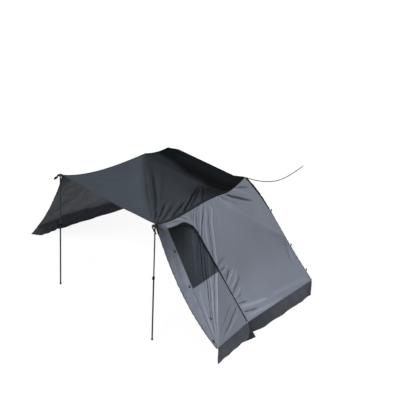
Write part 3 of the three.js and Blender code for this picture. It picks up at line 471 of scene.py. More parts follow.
def roof(u, v):
    """Roof with its pull folds and soft unevenness, flattened towards its side seams, its hem and its rear
    edge, and the folds' painted shade."""
    base = stretched_roof(u, v)
    u, v = np.broadcast_arrays(np.asarray(u, float), np.asarray(v, float))
    cloth = bpy.context.scene.tent_cloth
    depth, shade = folds_over(base, ROOF_FOLD_SHARES, stretched_roof, (0.6, 1.0, 1.1))
    depth = cloth.fold_depth * depth + 0.008 * ripple(base, 0.7, 5)
    rim = (1 - rise(0.93, 1, np.abs(u))) * rise(0, 0.12, v)
    base[..., 2] += depth * rim
    return base, shade * (0.4 + 0.6 * rim)


def skirt(side, b, v):
    """Skirt below a wall's foot at b, share v down: from the seam to the ground, where it flares out,
    gathers in waves and has its loose corners drawn out."""
    b, v = np.broadcast_arrays(np.asarray(b, float), np.asarray(v, float))
    head = foot(side, b)
    ground = head.copy()
    behind = b[-1, -1] <= 1
    spots = ((0, 0), (1, 1)) if behind else ((1, 2), (2, 3))
    out = side["flare"] + 0.008 * np.sin(7 * math.pi * b) + 0.005 * ripple(head, 0.20, 8)
    forward = 0.0
    for place, move in spots:
        near = np.clip(1 - np.abs(b - place) / 0.3, 0, 1) ** 2
        out = out + near * side["moves"][move][0]
        forward = forward + near * side["moves"][move][1]
    ground[..., 0] += side["sign"] * out
    ground[..., 1] += forward
    ground[..., 2] = GROUND
    share = v[..., None]
    p = head + (ground - head) * share
    crease = np.sin(math.pi * v) * (0.003 * ripple(head + (0, 0, 0.3) * share, 0.17, 11))
    pull = 0.006 * np.sin(math.pi * v) * np.sin(5 * math.pi * (b + 0.35 * v))
    tucked = 0.006 * (1 - rise(0.98, 1.02, b)) * (0 if behind else 1)
    p[..., 0] += side["sign"] * (crease + pull - tucked)
    return p


def mesh_piece(name, points, faces, finish, uv=None, fields=None):
    """New mesh object from points, faces and finishes, smooth, with a UV map and point fields if given."""
    mesh = bpy.data.meshes.new(name)
    mesh.from_pydata(points.reshape(-1, 3).tolist(), [], [list(map(int, face)) for face in faces])
    mesh.polygons.foreach_set("use_smooth", np.ones(len(mesh.polygons), bool))
    corner = np.zeros(len(mesh.loops), np.int32)
    mesh.loops.foreach_get("vertex_index", corner)
    if uv is not None:
        layer = mesh.uv_layers.new(name="UVMap")
        layer.data.foreach_set("uv", uv.reshape(-1, 2)[corner].astype(np.float32).ravel())
    for field, values in (fields or {}).items():
        attribute = mesh.attributes.new(field, "FLOAT", "POINT")
        attribute.data.foreach_set("value", values.astype(np.float32).ravel())
    for coat in finish:
        mesh.materials.append(coats[coat])
    mesh.update()
    piece = bpy.data.objects.new(name, mesh)
    bpy.context.scene.collection.objects.link(piece)
    return piece


def grid(down, across):
    """Two grids of shares: the first grows from row to row, the second from column to column."""
    return np.meshgrid(down, across, indexing="ij")


def grid_faces(rows, columns, ring=False):
    """Quads of a grid of points, row after row; in a ring the last column joins the first."""
    i, j = grid(np.arange(rows - 1), np.arange(columns if ring else columns - 1))
    a, b = i * columns + j, i * columns + (j + 1) % columns
    return np.stack([a, b, b + columns, a + columns], -1).reshape(-1, 4)


def run_length(line):
    """Length along a broken line up to each of its points."""
    return np.concatenate([[0], np.cumsum(np.linalg.norm(np.diff(line, axis=0), axis=1))])


def placed(piece, body, slot, *nodes):
    """Rides a finished piece on its body and hides the CAD nodes that it stands for; its slot is not used."""
    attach(piece, body)
    if nodes:
        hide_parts(*nodes)
    return piece


def cloth_piece(name, node, points, facing, finish, lines, tone, body="tent", slot=None,
                thick=None):
    """Cloth on a grid of points, its faces turned to the facing side, with a thin Solidify. Its UV map is in
    metres along two axes of its mean plane. The seam field holds the distance to the nearest sewn line and
    the run field the length along it, so that stitches can follow. The second finish, if any, is the cloth's
    inner face. Its flat size is its greatest real length across and down."""
    across = points[:, -1].mean(0) - points[:, 0].mean(0)
    down = points[-1].mean(0) - points[0].mean(0)
    faces = grid_faces(*points.shape[:2])
    if np.cross(across, down) @ np.asarray(facing) < 0:
        faces = faces[:, ::-1]
    first = unit(across)
    second = unit(down - (down @ first) * first)
    seam, run = np.ones(points.shape[:2]), np.zeros(points.shape[:2])
    for line in lines:
        gap, length = line_field(points, line)
        run = np.where(gap < seam, length, run)
        seam = np.minimum(gap, seam)
    uv = np.stack([points @ first, points @ second], -1)
    piece = mesh_piece(name, points, faces, finish, uv, {"seam": seam, "run": run, "tone": tone})
    solid = piece.modifiers.new("Cloth", "SOLIDIFY")
    solid.thickness = thick or bpy.context.scene.tent_cloth.thickness
    solid.offset = 0
    solid.material_offset = len(finish) - 1
    placed(piece, body, slot or finish[0], node)
    width, length = (float(np.linalg.norm(np.diff(points, axis=k), axis=-1).sum(k).max()) for k in (1, 0))


def section_round(radius, sides, flat=1.0):
    """Round section of a swept piece; flat squeezes it across its second axis."""
    angle = 2 * math.pi * np.arange(sides) / sides
    return np.stack([radius * np.cos(angle), flat * radius * np.sin(angle)], -1)


def section_box(width, thick, sharp=0.2, sides=20):
    """Rounded box section: a superellipse (|cos|^p, |sin|^p) with p below 1."""
    angle = 2 * math.pi * (np.arange(sides) + 0.5) / sides
    x, y = np.cos(angle), np.sin(angle)
    x, y = (np.sign(axis) * np.abs(axis) ** sharp for axis in (x, y))
    return np.stack([x * width / 2, y * thick / 2], -1)


def swept(name, path, out, section, coat, scale=1.0, tips=True):
    """Solid swept along a path: ring i is the section at path[i], its first axis across the path and its
    second along out, times scale[i], one for both axes or one each. Rounded tips shrink over three rings,
    and both ends are closed."""
    scale = np.asarray(scale, float)
    scale = np.broadcast_to(scale.reshape(len(path) if scale.ndim else 1, -1), (len(path), 2))
    tangent = unit(np.gradient(path, axis=0))
    across = unit(np.cross(np.broadcast_to(out, path.shape), tangent))
    lift = np.cross(tangent, across)
    if tips:
        reach = np.abs(section[:, 1]).max()
        back, shrink = np.array(TIP_SHARES).T[..., None]
        ahead = path[0] - tangent[0] * reach * (1 - back)
        after = path[-1] + tangent[-1] * reach * (1 - back[::-1])
        path = np.concatenate([ahead, path, after])
        across, lift = (np.pad(axis, ((3, 3), (0, 0)), "edge") for axis in (across, lift))
        scale = np.concatenate([shrink * scale[0], scale, shrink[::-1] * scale[-1]])
    rings = path[:, None] + (scale[:, None, :1] * section[:, :1] * across[:, None]
                             + scale[:, None, 1:] * section[:, 1:] * lift[:, None])
    rows, sides = rings.shape[:2]
    faces = grid_faces(rows, sides, ring=True)[:, ::-1].tolist()
    faces += [list(range(sides)), list(range((rows - 1) * sides, rows * sides))[::-1]]
    uv = np.stack(np.broadcast_arrays(run_length(section)[None, :], run_length(path)[:, None]), -1)
    return mesh_piece(name, rings, faces, [coat], uv)


def turned(name, profile, axis, coat, segments=64):
    """Solid turned about a vertical axis at (x, y). The profile's (radius, z) points go up its outside; it
    starts and ends on the axis, where it is closed flat, or comes back to its first point as a ring."""
    ring = profile[0] == profile[-1]
    kept = np.array(profile[:-1] if ring else [point for point in profile if point[0] > 0], float)
    angle = 2 * math.pi * np.arange(segments) / segments
    around = np.stack([np.cos(angle), np.sin(angle)], -1)
    level = np.broadcast_to(kept[:, None, 1:], (len(kept), segments, 1))
    points = np.concatenate([kept[:, None, :1] * around + np.asarray(axis), level], -1)
    rows = len(kept)
    if ring:
        faces = (grid_faces(rows + 1, segments, ring=True) % (rows * segments)).tolist()
    else:
        faces = grid_faces(rows, segments, ring=True).tolist()
        faces += [list(range(segments))[::-1], list(range((rows - 1) * segments, rows * segments))]
    return bevelled(mesh_piece(name, points, faces, [coat]), TURNED_EDGE)


def bevelled(piece, width):
    """Rounds a piece's sharp edges by a width in metres."""
    bevel = piece.modifiers.new("Edges", "BEVEL")
    bevel.width = width
    bevel.segments = 2
    bevel.limit_method = "ANGLE"
    bevel.angle_limit = math.radians(35)
    return piece


def bevelled_node(node, width):
    """Rounds the edges of a CAD node that stays: its loose triangles are welded, then bevelled."""
    piece = frame["nodes"][node]
    piece.modifiers.new("Weld", "WELD").merge_threshold = WELD_GAP
    return bevelled(piece, width)


coats = {}


class Nodes:
    """Short ways to add and link the nodes of one tree."""

    def __init__(self, tree):
        self.tree = tree

    def set(self, node, values):
        """Links each socket in values, or gives it its value."""
        for socket, value in values.items():
            if isinstance(value, bpy.types.NodeSocket):
                self.tree.links.new(value, node.inputs[socket])
            else:
                node.inputs[socket].default_value = value
        return node

    def add(self, kind, values=None, **settings):
        """New shader node of a kind, with its settings and values."""
        node = self.tree.nodes.new("ShaderNode" + kind)
        for key, value in settings.items():
            setattr(node, key, value)
        return self.set(node, values or {})

    def math(self, operation, first, second=0.0, clamp=False):
        """Result of a sum on two values."""
        return self.add("Math", {0: first, 1: second}, operation=operation, use_clamp=clamp).outputs[0]

    def spread(self, value, low, high):
        """A value from 0 to 1 mapped to low to high."""
        return self.add("MapRange", {"Value": value, "To Min": low, "To Max": high}).outputs["Result"]


class Coat(Nodes):
    """A finish under construction, kept in coats under its name: a Principled shader, its colour tinted and
    its bumps stacked, with patterns from the piece's own UV map, fields or Object coordinates."""

    def __init__(self, name, colour, roughness, **sockets):
        coats[name] = bpy.data.materials.new(name)
        coats[name].use_nodes = True
        super().__init__(coats[name].node_tree)
        self.shader = self.tree.nodes["Principled BSDF"]
        self.set(self.shader, {"Base Color": (*colour, 1), "Roughness": roughness, **sockets})

    def field(self, name):
        """One of the mesh's own point fields."""
        return self.add("Attribute", attribute_name=name).outputs["Fac"]

    def noise(self, scale, detail=3.0, roughness=0.55, stretch=(1, 1, 1)):
        """Noise on Object coordinates, which the stretch scales first."""
        place = self.add("Mapping", {"Vector": self.add("TexCoord").outputs["Object"], "Scale": stretch})
        return self.add("TexNoise", {"Vector": place.outputs["Vector"], "Scale": scale, "Detail": detail,
                                     "Roughness": roughness}).outputs["Fac"]

    def bands(self, pitch, direction):
        """Soft bands of the given pitch in metres: a wave texture's own pitch is 2 pi / 20 at scale 1."""
        uv = self.add("UVMap", uv_map="UVMap").outputs["UV"]
        values = {"Vector": uv, "Scale": 2 * math.pi / 20 / pitch, "Distortion": 0.0, "Detail": 0.0}
        return self.add("TexWave", values, bands_direction=direction).outputs["Fac"]

    def threads(self, pitch, sharp):
        """Grid of thin threads: the greater of two crossing sets of bands, each raised to a power."""
        return self.math("MAXIMUM", self.math("POWER", self.bands(pitch, "X"), sharp),
                         self.math("POWER", self.bands(pitch, "Y"), sharp))

    def tint(self, grey, low=None, high=None):
        """Multiplies the base colour by a grey factor, spread from low to high where they are given."""
        if low is not None:
            grey = self.spread(grey, low, high)
        socket = self.shader.inputs["Base Color"]
        first = socket.links[0].from_socket if socket.is_linked else tuple(socket.default_value)
        second = self.add("CombineColor", {"Red": grey, "Green": grey, "Blue": grey}).outputs["Color"]
        mix = self.add("Mix", data_type="RGBA", blend_type="MULTIPLY")
        self.set(self.shader, {"Base Color": self.set(mix, {0: 1.0, 6: first, 7: second}).outputs[2]})

    def lead_over(self, factor, colour):
        """Mixes the base colour with a second one by a factor."""
        mix = self.add("Mix", data_type="RGBA")
        self.set(mix, {0: factor, 6: tuple(self.shader.inputs["Base Color"].default_value), 7: (*colour, 1)})
        self.set(self.shader, {"Base Color": mix.outputs[2]})

    def bump(self, value, distance, strength=0.8):
        """Adds a layer of bump, its height in metres, over the layers before it."""
        values = {"Height": value, "Distance": distance, "Strength": strength}
        for link in self.shader.inputs["Normal"].links:
            values["Normal"] = link.from_socket
        self.set(self.shader, {"Normal": self.add("Bump", values).outputs["Normal"]})

    def rough(self, value, low, high):
        """Spreads the roughness from low to high."""
        self.set(self.shader, {"Roughness": self.spread(value, low, high)})

    def stitches(self):
        """Two rows of stitches beside a sewn line: dashes along the run field at fixed seam distances."""
        rows = []
        for distance in STITCH_ROWS:
            off = self.math("ABSOLUTE", self.math("SUBTRACT", self.field("seam"), distance))
            rows.append(self.math("SUBTRACT", 1.0, self.math("DIVIDE", off, STITCH_WIDTH), clamp=True))
        turn = 2 * math.pi / bpy.context.scene.tent_cloth.stitch_pitch
        wave = self.math("SINE", self.math("MULTIPLY", self.field("run"), turn))
        return self.math("MULTIPLY", self.math("MAXIMUM", *rows), self.math("GREATER_THAN", wave, -0.35))


def dimmed(colour, share):
    """A colour at a share of its brightness."""
    return [share * channel for channel in colour]


def cloth_coat(name, colour, roughness=0.72, sheen=0.02, gloss=0.12, shaded_colour=None):
    """Coated polyester: fine plain weave with ripstop lines, uneven dye, small creases, stitches along its
    seams. The field of painted light and shade, with a few sewn lines and a little random unevenness,
    multiplies its colour, or leads over to a second colour, a painted shade, where there is one."""
    cloth = bpy.context.scene.tent_cloth
    coat = Coat(name, colour, roughness,
                **{"Sheen Weight": sheen, "Sheen Roughness": 0.5, "Specular IOR Level": gloss})
    weave = coat.math("MULTIPLY", coat.bands(cloth.weave_pitch, "X"), coat.bands(cloth.weave_pitch, "Y"))
    rip = coat.threads(cloth.ripstop_pitch, 24.0)
    row = coat.stitches()
    # Painted light and shade: the field multiplies the colour, or mixes it towards the darker second colour
    if shaded_colour is None:
        coat.tint(coat.field("tone"))
    else:
        coat.lead_over(coat.field("tone"), shaded_colour)
    coat.tint(coat.noise(2.2, 4.0), 0.93, 1.07)
    coat.tint(weave, 0.97, 1.03)
    coat.tint(rip, 1.0, 0.94)
    coat.tint(row, 1.0, 0.45)
    coat.rough(coat.noise(60.0, 2.0), roughness - 0.05, roughness + 0.05)
    coat.bump(coat.noise(9.0, 4.0, 0.6), 0.004, 0.35)
    coat.bump(coat.noise(38.0, 2.0), 0.0009, 0.5)
    coat.bump(weave, 0.00006)
    coat.bump(rip, 0.00010)
    coat.bump(row, 0.0005)


def window_coat(name, colour):
    """Insect mesh over dark cloth: thread grid by two waves, their gaps darker and lower."""
    coat = Coat(name, colour, 0.85, **{"Sheen Weight": 0.02, "Specular IOR Level": 0.08})
    mesh = coat.threads(MESH_PITCH, 3.0)
    coat.tint(mesh, 0.55, 1.35)
    coat.tint(coat.noise(2.0), 0.9, 1.1)
    # Painted light and shade of the window, from its field
    coat.tint(coat.field("tone"))
    coat.tint(coat.stitches(), 1.0, 1.6)
    coat.bump(coat.noise(8.0), 0.004, 0.3)
    coat.bump(mesh, 0.00025)


def webbing_coat(name, colour):
    """Woven tape: ribs across its length and a fine twill, slightly fuzzy."""
    coat = Coat(name, colour, 0.82,
                **{"Sheen Weight": 0.04, "Sheen Roughness": 0.6, "Specular IOR Level": 0.1})
    ribs = coat.bands(RIB_PITCH, "Y")
    coat.tint(ribs, 0.8, 1.2)
    coat.tint(coat.noise(14.0), 0.85, 1.15)
    coat.bump(ribs, 0.0003)
    coat.bump(coat.bands(TWILL_PITCH, "DIAGONAL"), 0.00015, 0.6)


def tube_coat(name, colour):
    """Anodised aluminium: drawn along its length, with faint long streaks and handling marks."""
    coat = Coat(name, colour, 0.75, **{"Specular IOR Level": 0.12})
    streak = coat.noise(4.0, 4.0, stretch=(90, 90, 1.5))
    marks = coat.noise(22.0, 5.0, 0.7)
    coat.tint(streak, 0.85, 1.15)
    coat.tint(marks, 0.9, 1.1)
    coat.rough(marks, 0.68, 0.82)
    coat.bump(streak, 0.00004, 0.5)


def steel_coat(name, colour):
    """Blackened steel: dark, with a fine brushed grain and brighter worn spots."""
    coat = Coat(name, colour, 0.42, Metallic=0.8)
    wear = coat.noise(120.0, 4.0)
    coat.tint(wear, 0.75, 1.1)
    coat.rough(wear, 0.36, 0.55)
    coat.bump(coat.noise(6.0, stretch=(40, 40, 400)), 0.00003, 0.4)


def moulded_coat(name, colour, roughness, grain_size):
    """Moulded nylon or rubber: spark-eroded grain and slightly lighter scuffs."""
    coat = Coat(name, colour, roughness, **{"Specular IOR Level": 0.10})
    scuff = coat.noise(45.0, 5.0, 0.7)
    coat.tint(scuff, 0.8, 1.5)
    coat.rough(scuff, roughness - 0.07, roughness + 0.08)
    coat.bump(coat.noise(grain_size, 2.0), 0.00012, 0.6)


def number_setting(name, description, default, **limits):
    """A number that a user can change, 0 or more unless its limits say otherwise."""
    return FloatProperty(name=name, description=description, default=default, **{"min": 0.0, **limits})


def length_setting(name, description, default, low, **limits):
    """A length in metres that a user can change."""
    return number_setting(name, description, default, min=low, unit="LENGTH", **limits)


def colour_setting(name, description, default):
    """A colour that a user can change."""
    return FloatVectorProperty(name=name, description=description, subtype="COLOR", size=3, default=default)


class TentClothSettings(bpy.types.PropertyGroup):
    """Sizes and colours of the cloth."""

    thickness: length_setting("Cloth thickness", "Thickness of every cloth panel", 0.0016, 0.0005, max=0.004)
    fold_depth: number_setting("Fold depth", "Depth of the pull folds, 1 as in real use", 1.0, max=2.0)
    pucker: length_setting("Pucker", "Height of the small gathers along a seam", 0.0022, 0.0, max=0.01)
    pucker_pitch: length_setting("Pucker pitch", "Distance between two gathers", 0.058, 0.01)
    weave_pitch: length_setting("Weave pitch", "Distance between two threads", 0.0011, 0.0003)
    ripstop_pitch: length_setting("Ripstop pitch", "Side of a ripstop square", 0.0065, 0.002)
    stitch_pitch: length_setting("Stitch pitch", "Length of one stitch", 0.0045, 0.002)
    roof: colour_setting("Roof", "Colour of the roof cloth", (0.085, 0.103, 0.127))
    wall: colour_setting("Wall", "Colour of the wall cloth", (0.175, 0.195, 0.235))
    skirt: colour_setting("Skirt", "Colour of the ground skirts", (0.051, 0.057, 0.068))
    black: colour_setting("Black cloth", "Colour of the attach panel and the piping",
                          (0.0035, 0.0042, 0.0052))
    window: colour_setting("Window", "Colour of the insect mesh", (0.038, 0.046, 0.057))
    webbing: colour_setting("Webbing", "Colour of bindings and straps", (0.0045, 0.0052, 0.0065))


class TentFittingSettings(bpy.types.PropertyGroup):
    """Colours and detail of poles and fittings."""

    tube: colour_setting("Pole tube", "Colour of the anodised tubes", (0.026, 0.031, 0.040))
    steel: colour_setting("Steel", "Colour of spikes, grommets and slider", (0.09, 0.095, 0.10))
    plastic: colour_setting("Plastic", "Colour of moulded fittings", (0.003, 0.0033, 0.0036))
    rubber: colour_setting("Rubber", "Colour of the pole feet", (0.014, 0.015, 0.016))
    segments: IntProperty(name="Segments", description="Sides of a turned piece", default=48, min=16, max=128)


class TentStageSettings(bpy.types.PropertyGroup):
    """Light, floor and camera."""

    sky: number_setting("Sky", "Strength of the even light from all round", 0.50)
    key: number_setting("Key", "Strength of the lamp from behind the tent", 1.9)
    side: number_setting("Side", "Strength of the lamp from the tent's right", 0.45)
    floor: number_setting("Floor", "Brightness of the floor", 0.85, max=1.0)
    glow: number_setting("Floor glow", "Share of the floor's look that is plain white", 0.82, max=1.0)


class TENT_OT_stage(bpy.types.Operator):
    """Sets the pale floor, the soft lamps and the camera at the photograph's angle"""
    bl_idname = "tent.stage"
    bl_label = "Stage"

    def execute(self, context):
        settings = context.scene.tent_stage
        self.camera(context)
        self.floor(settings)
        self.world(context, settings)
        self.lamp(context, "key", settings.key, 12, (0.30, -0.80, 0.75))
        self.lamp(context, "side", settings.side, 30, (0.90, 0.55, 0.80))
        context.scene.view_settings.view_transform = "Standard"
        return {"FINISHED"}

    def lamp(self, context, name, strength, spread, direction):
        """Sun lamp that shines from a direction, as wide as its spread in degrees."""
        data = bpy.data.lights.new(name, "SUN")
        data.energy = strength
        data.angle = math.radians(spread)
        z = unit(np.array(direction))
        x = unit(np.cross((0, 0, 1), z))
        self.linked(context, data, (0, 0, 0), (x, np.cross(z, x), z))

    def camera(self, context):
        """Camera that looks ahead along its heading and fall, then turns about that by its roll."""
        heading, fall, roll = np.radians(CAMERA_TURN)
        level = math.cos(fall)
        ahead = np.array((-math.sin(heading) * level, math.cos(heading) * level, -math.sin(fall)))
        right = unit(np.cross(ahead, (0, 0, 1)))
        up = np.cross(right, ahead)
        rolled = (math.cos(roll) * right + math.sin(roll) * up, math.cos(roll) * up - math.sin(roll) * right)
        data = bpy.data.cameras.new("camera")
        data.lens = CAMERA_FOCAL * data.sensor_width
        data.clip_end = 300
        context.scene.camera = self.linked(context, data, CAMERA_PLACE, (*rolled, -ahead))

    def linked(self, context, data, place, axes):
        """New object for a lamp or camera, at a place, with its own axes given as three vectors."""
        new = bpy.data.objects.new(data.name, data)
        new.matrix_world = Matrix.Translation(place) @ Matrix(np.column_stack(axes).tolist()).to_4x4()
        context.scene.collection.objects.link(new)
        return new

    def floor(self, settings):
        """Floor that takes shadows and looks near white to rays that come straight from the camera."""
        material = bpy.data.materials.new("floor")
        material.use_nodes = True
        floor = Nodes(material.node_tree)
        shader, output = floor.tree.nodes["Principled BSDF"], floor.tree.nodes["Material Output"]
        floor.set(shader, {"Base Color": (*(settings.floor,) * 3, 1), "Roughness": 1.0})
        ray = floor.add("LightPath").outputs
        shown = floor.math("MAXIMUM", ray["Is Camera Ray"], ray["Is Glossy Ray"])
        shown = floor.math("MAXIMUM", shown, ray["Is Transmission Ray"])
        glow = floor.add("Emission", {"Strength": FLOOR_WHITE}).outputs[0]
        shown = floor.math("MULTIPLY", shown, settings.glow)
        mix = floor.add("MixShader", {0: shown, 1: shader.outputs[0], 2: glow})
        floor.set(output, {"Surface": mix.outputs[0]})
        coats["floor"] = material
        corners = np.array([(-1, -1, 0), (1, -1, 0), (1, 1, 0), (-1, 1, 0)]) * FLOOR_REACH
        mesh_piece("floor", corners + (0, 0, GROUND - FLOOR_DROP), [[0, 1, 2, 3]], ["floor"])

    def world(self, context, settings):
        """Even light from all round, and plain white behind the tent."""
        context.scene.world = bpy.data.worlds.new("studio")
        context.scene.world.use_nodes = True
        world = Nodes(context.scene.world.node_tree)
        ray = world.add("LightPath").outputs
        shown = world.math("MAXIMUM", ray["Is Camera Ray"], ray["Is Transmission Ray"])
        world.set(world.tree.nodes["Background"], {"Color": (1, 1, 1, 1),
                                                   "Strength": world.spread(shown, settings.sky, 1.0)})


class TENT_OT_strap(bpy.types.Operator):
    """Hangs the corner strap between its buckle and its hook"""
    bl_idname = "tent.strap"
    bl_label = "Corner strap"

    def execute(self, context):
        curve = bpy.data.curves.new("corner_strap", "CURVE")
        curve.dimensions = "3D"
        curve.bevel_depth = STRAP_THICK / 2
        curve.bevel_resolution = 3
        curve.resolution_u = 8
        spline = curve.splines.new("NURBS")
        spline.points.add(len(STRAP_ROUTE) - 1)
        for point, (y, height) in zip(spline.points, STRAP_ROUTE):
            point.co = (STRAP_X, y, GROUND + height, 1)
        spline.use_endpoint_u = True
        spline.order_u = 4
        curve.materials.append(coats["webbing"])
        strap = bpy.data.objects.new("corner_strap", curve)
        context.scene.collection.objects.link(strap)
        placed(strap, "tent", "webbing", "strap_cord")
        y, height = STRAP_ROUTE[0]
        return {"FINISHED"}


class TENT_OT_materials(bpy.types.Operator):
    """Makes every finish and gives one to each CAD node"""
    bl_idname = "tent.materials"
    bl_label = "Finishes"

    def execute(self, context):
        cloth, fitting = context.scene.tent_cloth, context.scene.tent_fitting
        cloth_coat("roof_cloth", cloth.roof, gloss=0.05)
        # Roof's inner face: the roof cloth at half its brightness, a painted shade
        cloth_coat("roof_inside_painted_shade", dimmed(cloth.roof, 0.5), gloss=0.05)
        cloth_coat("black_cloth", cloth.black, roughness=0.9, sheen=0.0, gloss=0.03)
        # Attach panel: black leading over to the roof colour at 0.24 of its brightness, a painted shade by the
        # seam
        cloth_coat("attach_cloth", cloth.black, roughness=0.85, sheen=0.0, gloss=0.04,
                   shaded_colour=dimmed(cloth.roof, 0.24))
        cloth_coat("wall_cloth", cloth.wall)
        # Wall's inner face: the wall cloth at 0.36 of its brightness, a painted shade
        cloth_coat("wall_inside_painted_shade", dimmed(cloth.wall, 0.36))
        cloth_coat("skirt_cloth", cloth.skirt)
        window_coat("window_mesh", cloth.window)
        webbing_coat("webbing", cloth.webbing)
        webbing_coat("edge_tape", dimmed(cloth.wall, 0.6))
        tube_coat("pole_metal", fitting.tube)
        steel_coat("steel", fitting.steel)
        moulded_coat("plastic", fitting.plastic, 0.60, 900.0)
        moulded_coat("rubber", fitting.rubber, 0.85, 500.0)
        slots = {row["node"]: row["material_slot"] for row in frame["record"]["subparts"]}
        for node, obj in frame["nodes"].items():
            obj.data.materials.clear()
            obj.data.materials.append(coats[slots[node]])
        return {"FINISHED"}


def down_line(side, line, t, lift=0.0):
    """Points down one of a wall's lines."""
    return wall(side, np.full_like(t, float(line)), t, lift)


class TENT_OT_roof(bpy.types.Operator):
    """Roof cloth, its rear edge band, the black attach panel, the hem band and the side piping"""
    bl_idname = "tent.roof"
    bl_label = "Roof"

    def execute(self, context):
        cloth = context.scene.tent_cloth
        band = 1 - REAR_BAND * (1 - SEAM_SHARE) / (KINK[1] - CORNER[1])
        sides = [edge(side, np.linspace(0, 2, 60)) for side in (RIGHT, LEFT)]
        seam, rear = (stretched_roof(np.linspace(-1, 1, 40), share) for share in (SEAM_SHARE, band))
        columns = np.linspace(-1, 1, 226)
        columns = columns + 0.10 * (1 - columns ** 2)
        up = (0, 0, 1)

        v, u = grid(np.linspace(SEAM_SHARE, band, 204), columns)
        points, shade = roof(u, v)
        for line in sides:
            gap, run = line_field(points, line)
            wave = np.sin(2 * math.pi * run / cloth.pucker_pitch + 1.5 * ripple(points, 0.5, 2))
            wave *= np.exp(-gap / 0.06) * rise(0.0, 0.012, gap)
            points[..., 2] += 1.4 * cloth.pucker * wave
            # Painted shade of the gathers beside the side seams
            shade += 0.3 * wave
        cloth_piece("roof_cloth", "roof_panel", points, up, ("roof_cloth", "roof_inside_painted_shade"),
                    [*sides, seam, rear], self.tone(u, v) * shaded(shade, 0.60, 0.60))

        v, u = grid(np.linspace(band, 1, 5), columns)
        points, shade = roof(u, v)
        # The rear band takes the roof's painted light and shade and its folds' painted shade, a tenth darker
        cloth_piece("roof_rear_band", "rear_edge_band", points, up, ("roof_cloth",), [rear],
                    self.tone(u, v) * 0.9 * shaded(shade, 0.5, 0.4),
                    thick=REAR_BAND_THICK)

        v, u = grid(np.linspace(0, SEAM_SHARE, 60), columns)
        points, shade = roof(u, v)
        # Painted shade: the attach panel goes from black over to the dimmed roof colour, with the folds'
        # painted shade
        cloth_piece("attach_cloth", "attach_panel", points, up, ("attach_cloth", "black_cloth"),
                    [*sides, seam], self.grey(u, v) * shaded(shade, 0.5, 0.4),
                    slot="black_cloth")

        low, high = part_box("hem_band")
        middle = (low + high) / 2
        path = np.linspace((low.x, middle.y, middle.z), (high.x, middle.y, middle.z), 90)
        section = section_box(high.z - low.z, high.y - low.y)
        hem = swept("hem_webbing", path, (0, 1, 0), section, "webbing", tips=False)
        placed(hem, "tent", "webbing", "hem_band")
        section = section_round(PIPING_RADIUS, 12)
        e = np.concatenate([np.linspace(0.004, 1, 90), np.linspace(1, 1.985, 40)[1:]])
        for side in (RIGHT, LEFT):
            piping = swept(f"piping_{side['name']}", edge(side, e), up, section, "black_cloth")
            placed(piping, "tent", "black_cloth", f"roof_piping_{side['name']}")
        return {"FINISHED"}

    def tone(self, u, v):
        """Roof cloth's painted light and shade: painted light left of the ridge, more so towards the left pole,
        painted shade right of it and darkest beside the attach seam. Along the right seam runs a darker strip
        between two sewn lines."""
        back = (v - SEAM_SHARE) / (1 - SEAM_SHARE)
        off = (u + 1) / 2 - back
        left = 1 - rise(-0.10, 0.03, off)
        right = 1 - left
        tone = 0.42 + left * (0.25 + 0.06 * rise(0.0, 0.55, -off))
        tone *= 1 - 0.30 * right * (1 - rise(0.0, 0.40, back))
        tone *= 1 - 0.80 * rise(0.25, 0.75, u) * (1 - rise(0.02, 0.36, back))
        tone *= 1 + 0.34 * right * rise(0.5, 0.9, back)
        tone *= 1 + 0.10 * left * (1 - rise(0.05, 0.30, -off)) - 0.10 * rise(0.2, 0.7, -u)
        sewn = np.exp(-((u - 0.958) / 0.012) ** 2) * rise(0.3, 0.5, v)
        return tone * (1 - 0.15 * rise(0.92, 0.97, u)) * (1 - 0.75 * sewn)

    def grey(self, u, v):
        """Attach panel's share of the dimmed roof colour, a painted shade: 0 where it is black, rising to 1 in
        a soft band before its seam."""
        border = np.interp(u, *np.transpose(GREY_BORDER_SHARES))
        front = 0.22 * (1 - rise(0.05, 0.16, v)) * rise(-0.9, -0.3, u)
        return 0.02 + front + rise(-0.075, 0.025, v - border) * (1 + 0.3 * (1 - rise(-0.9, -0.3, u)))


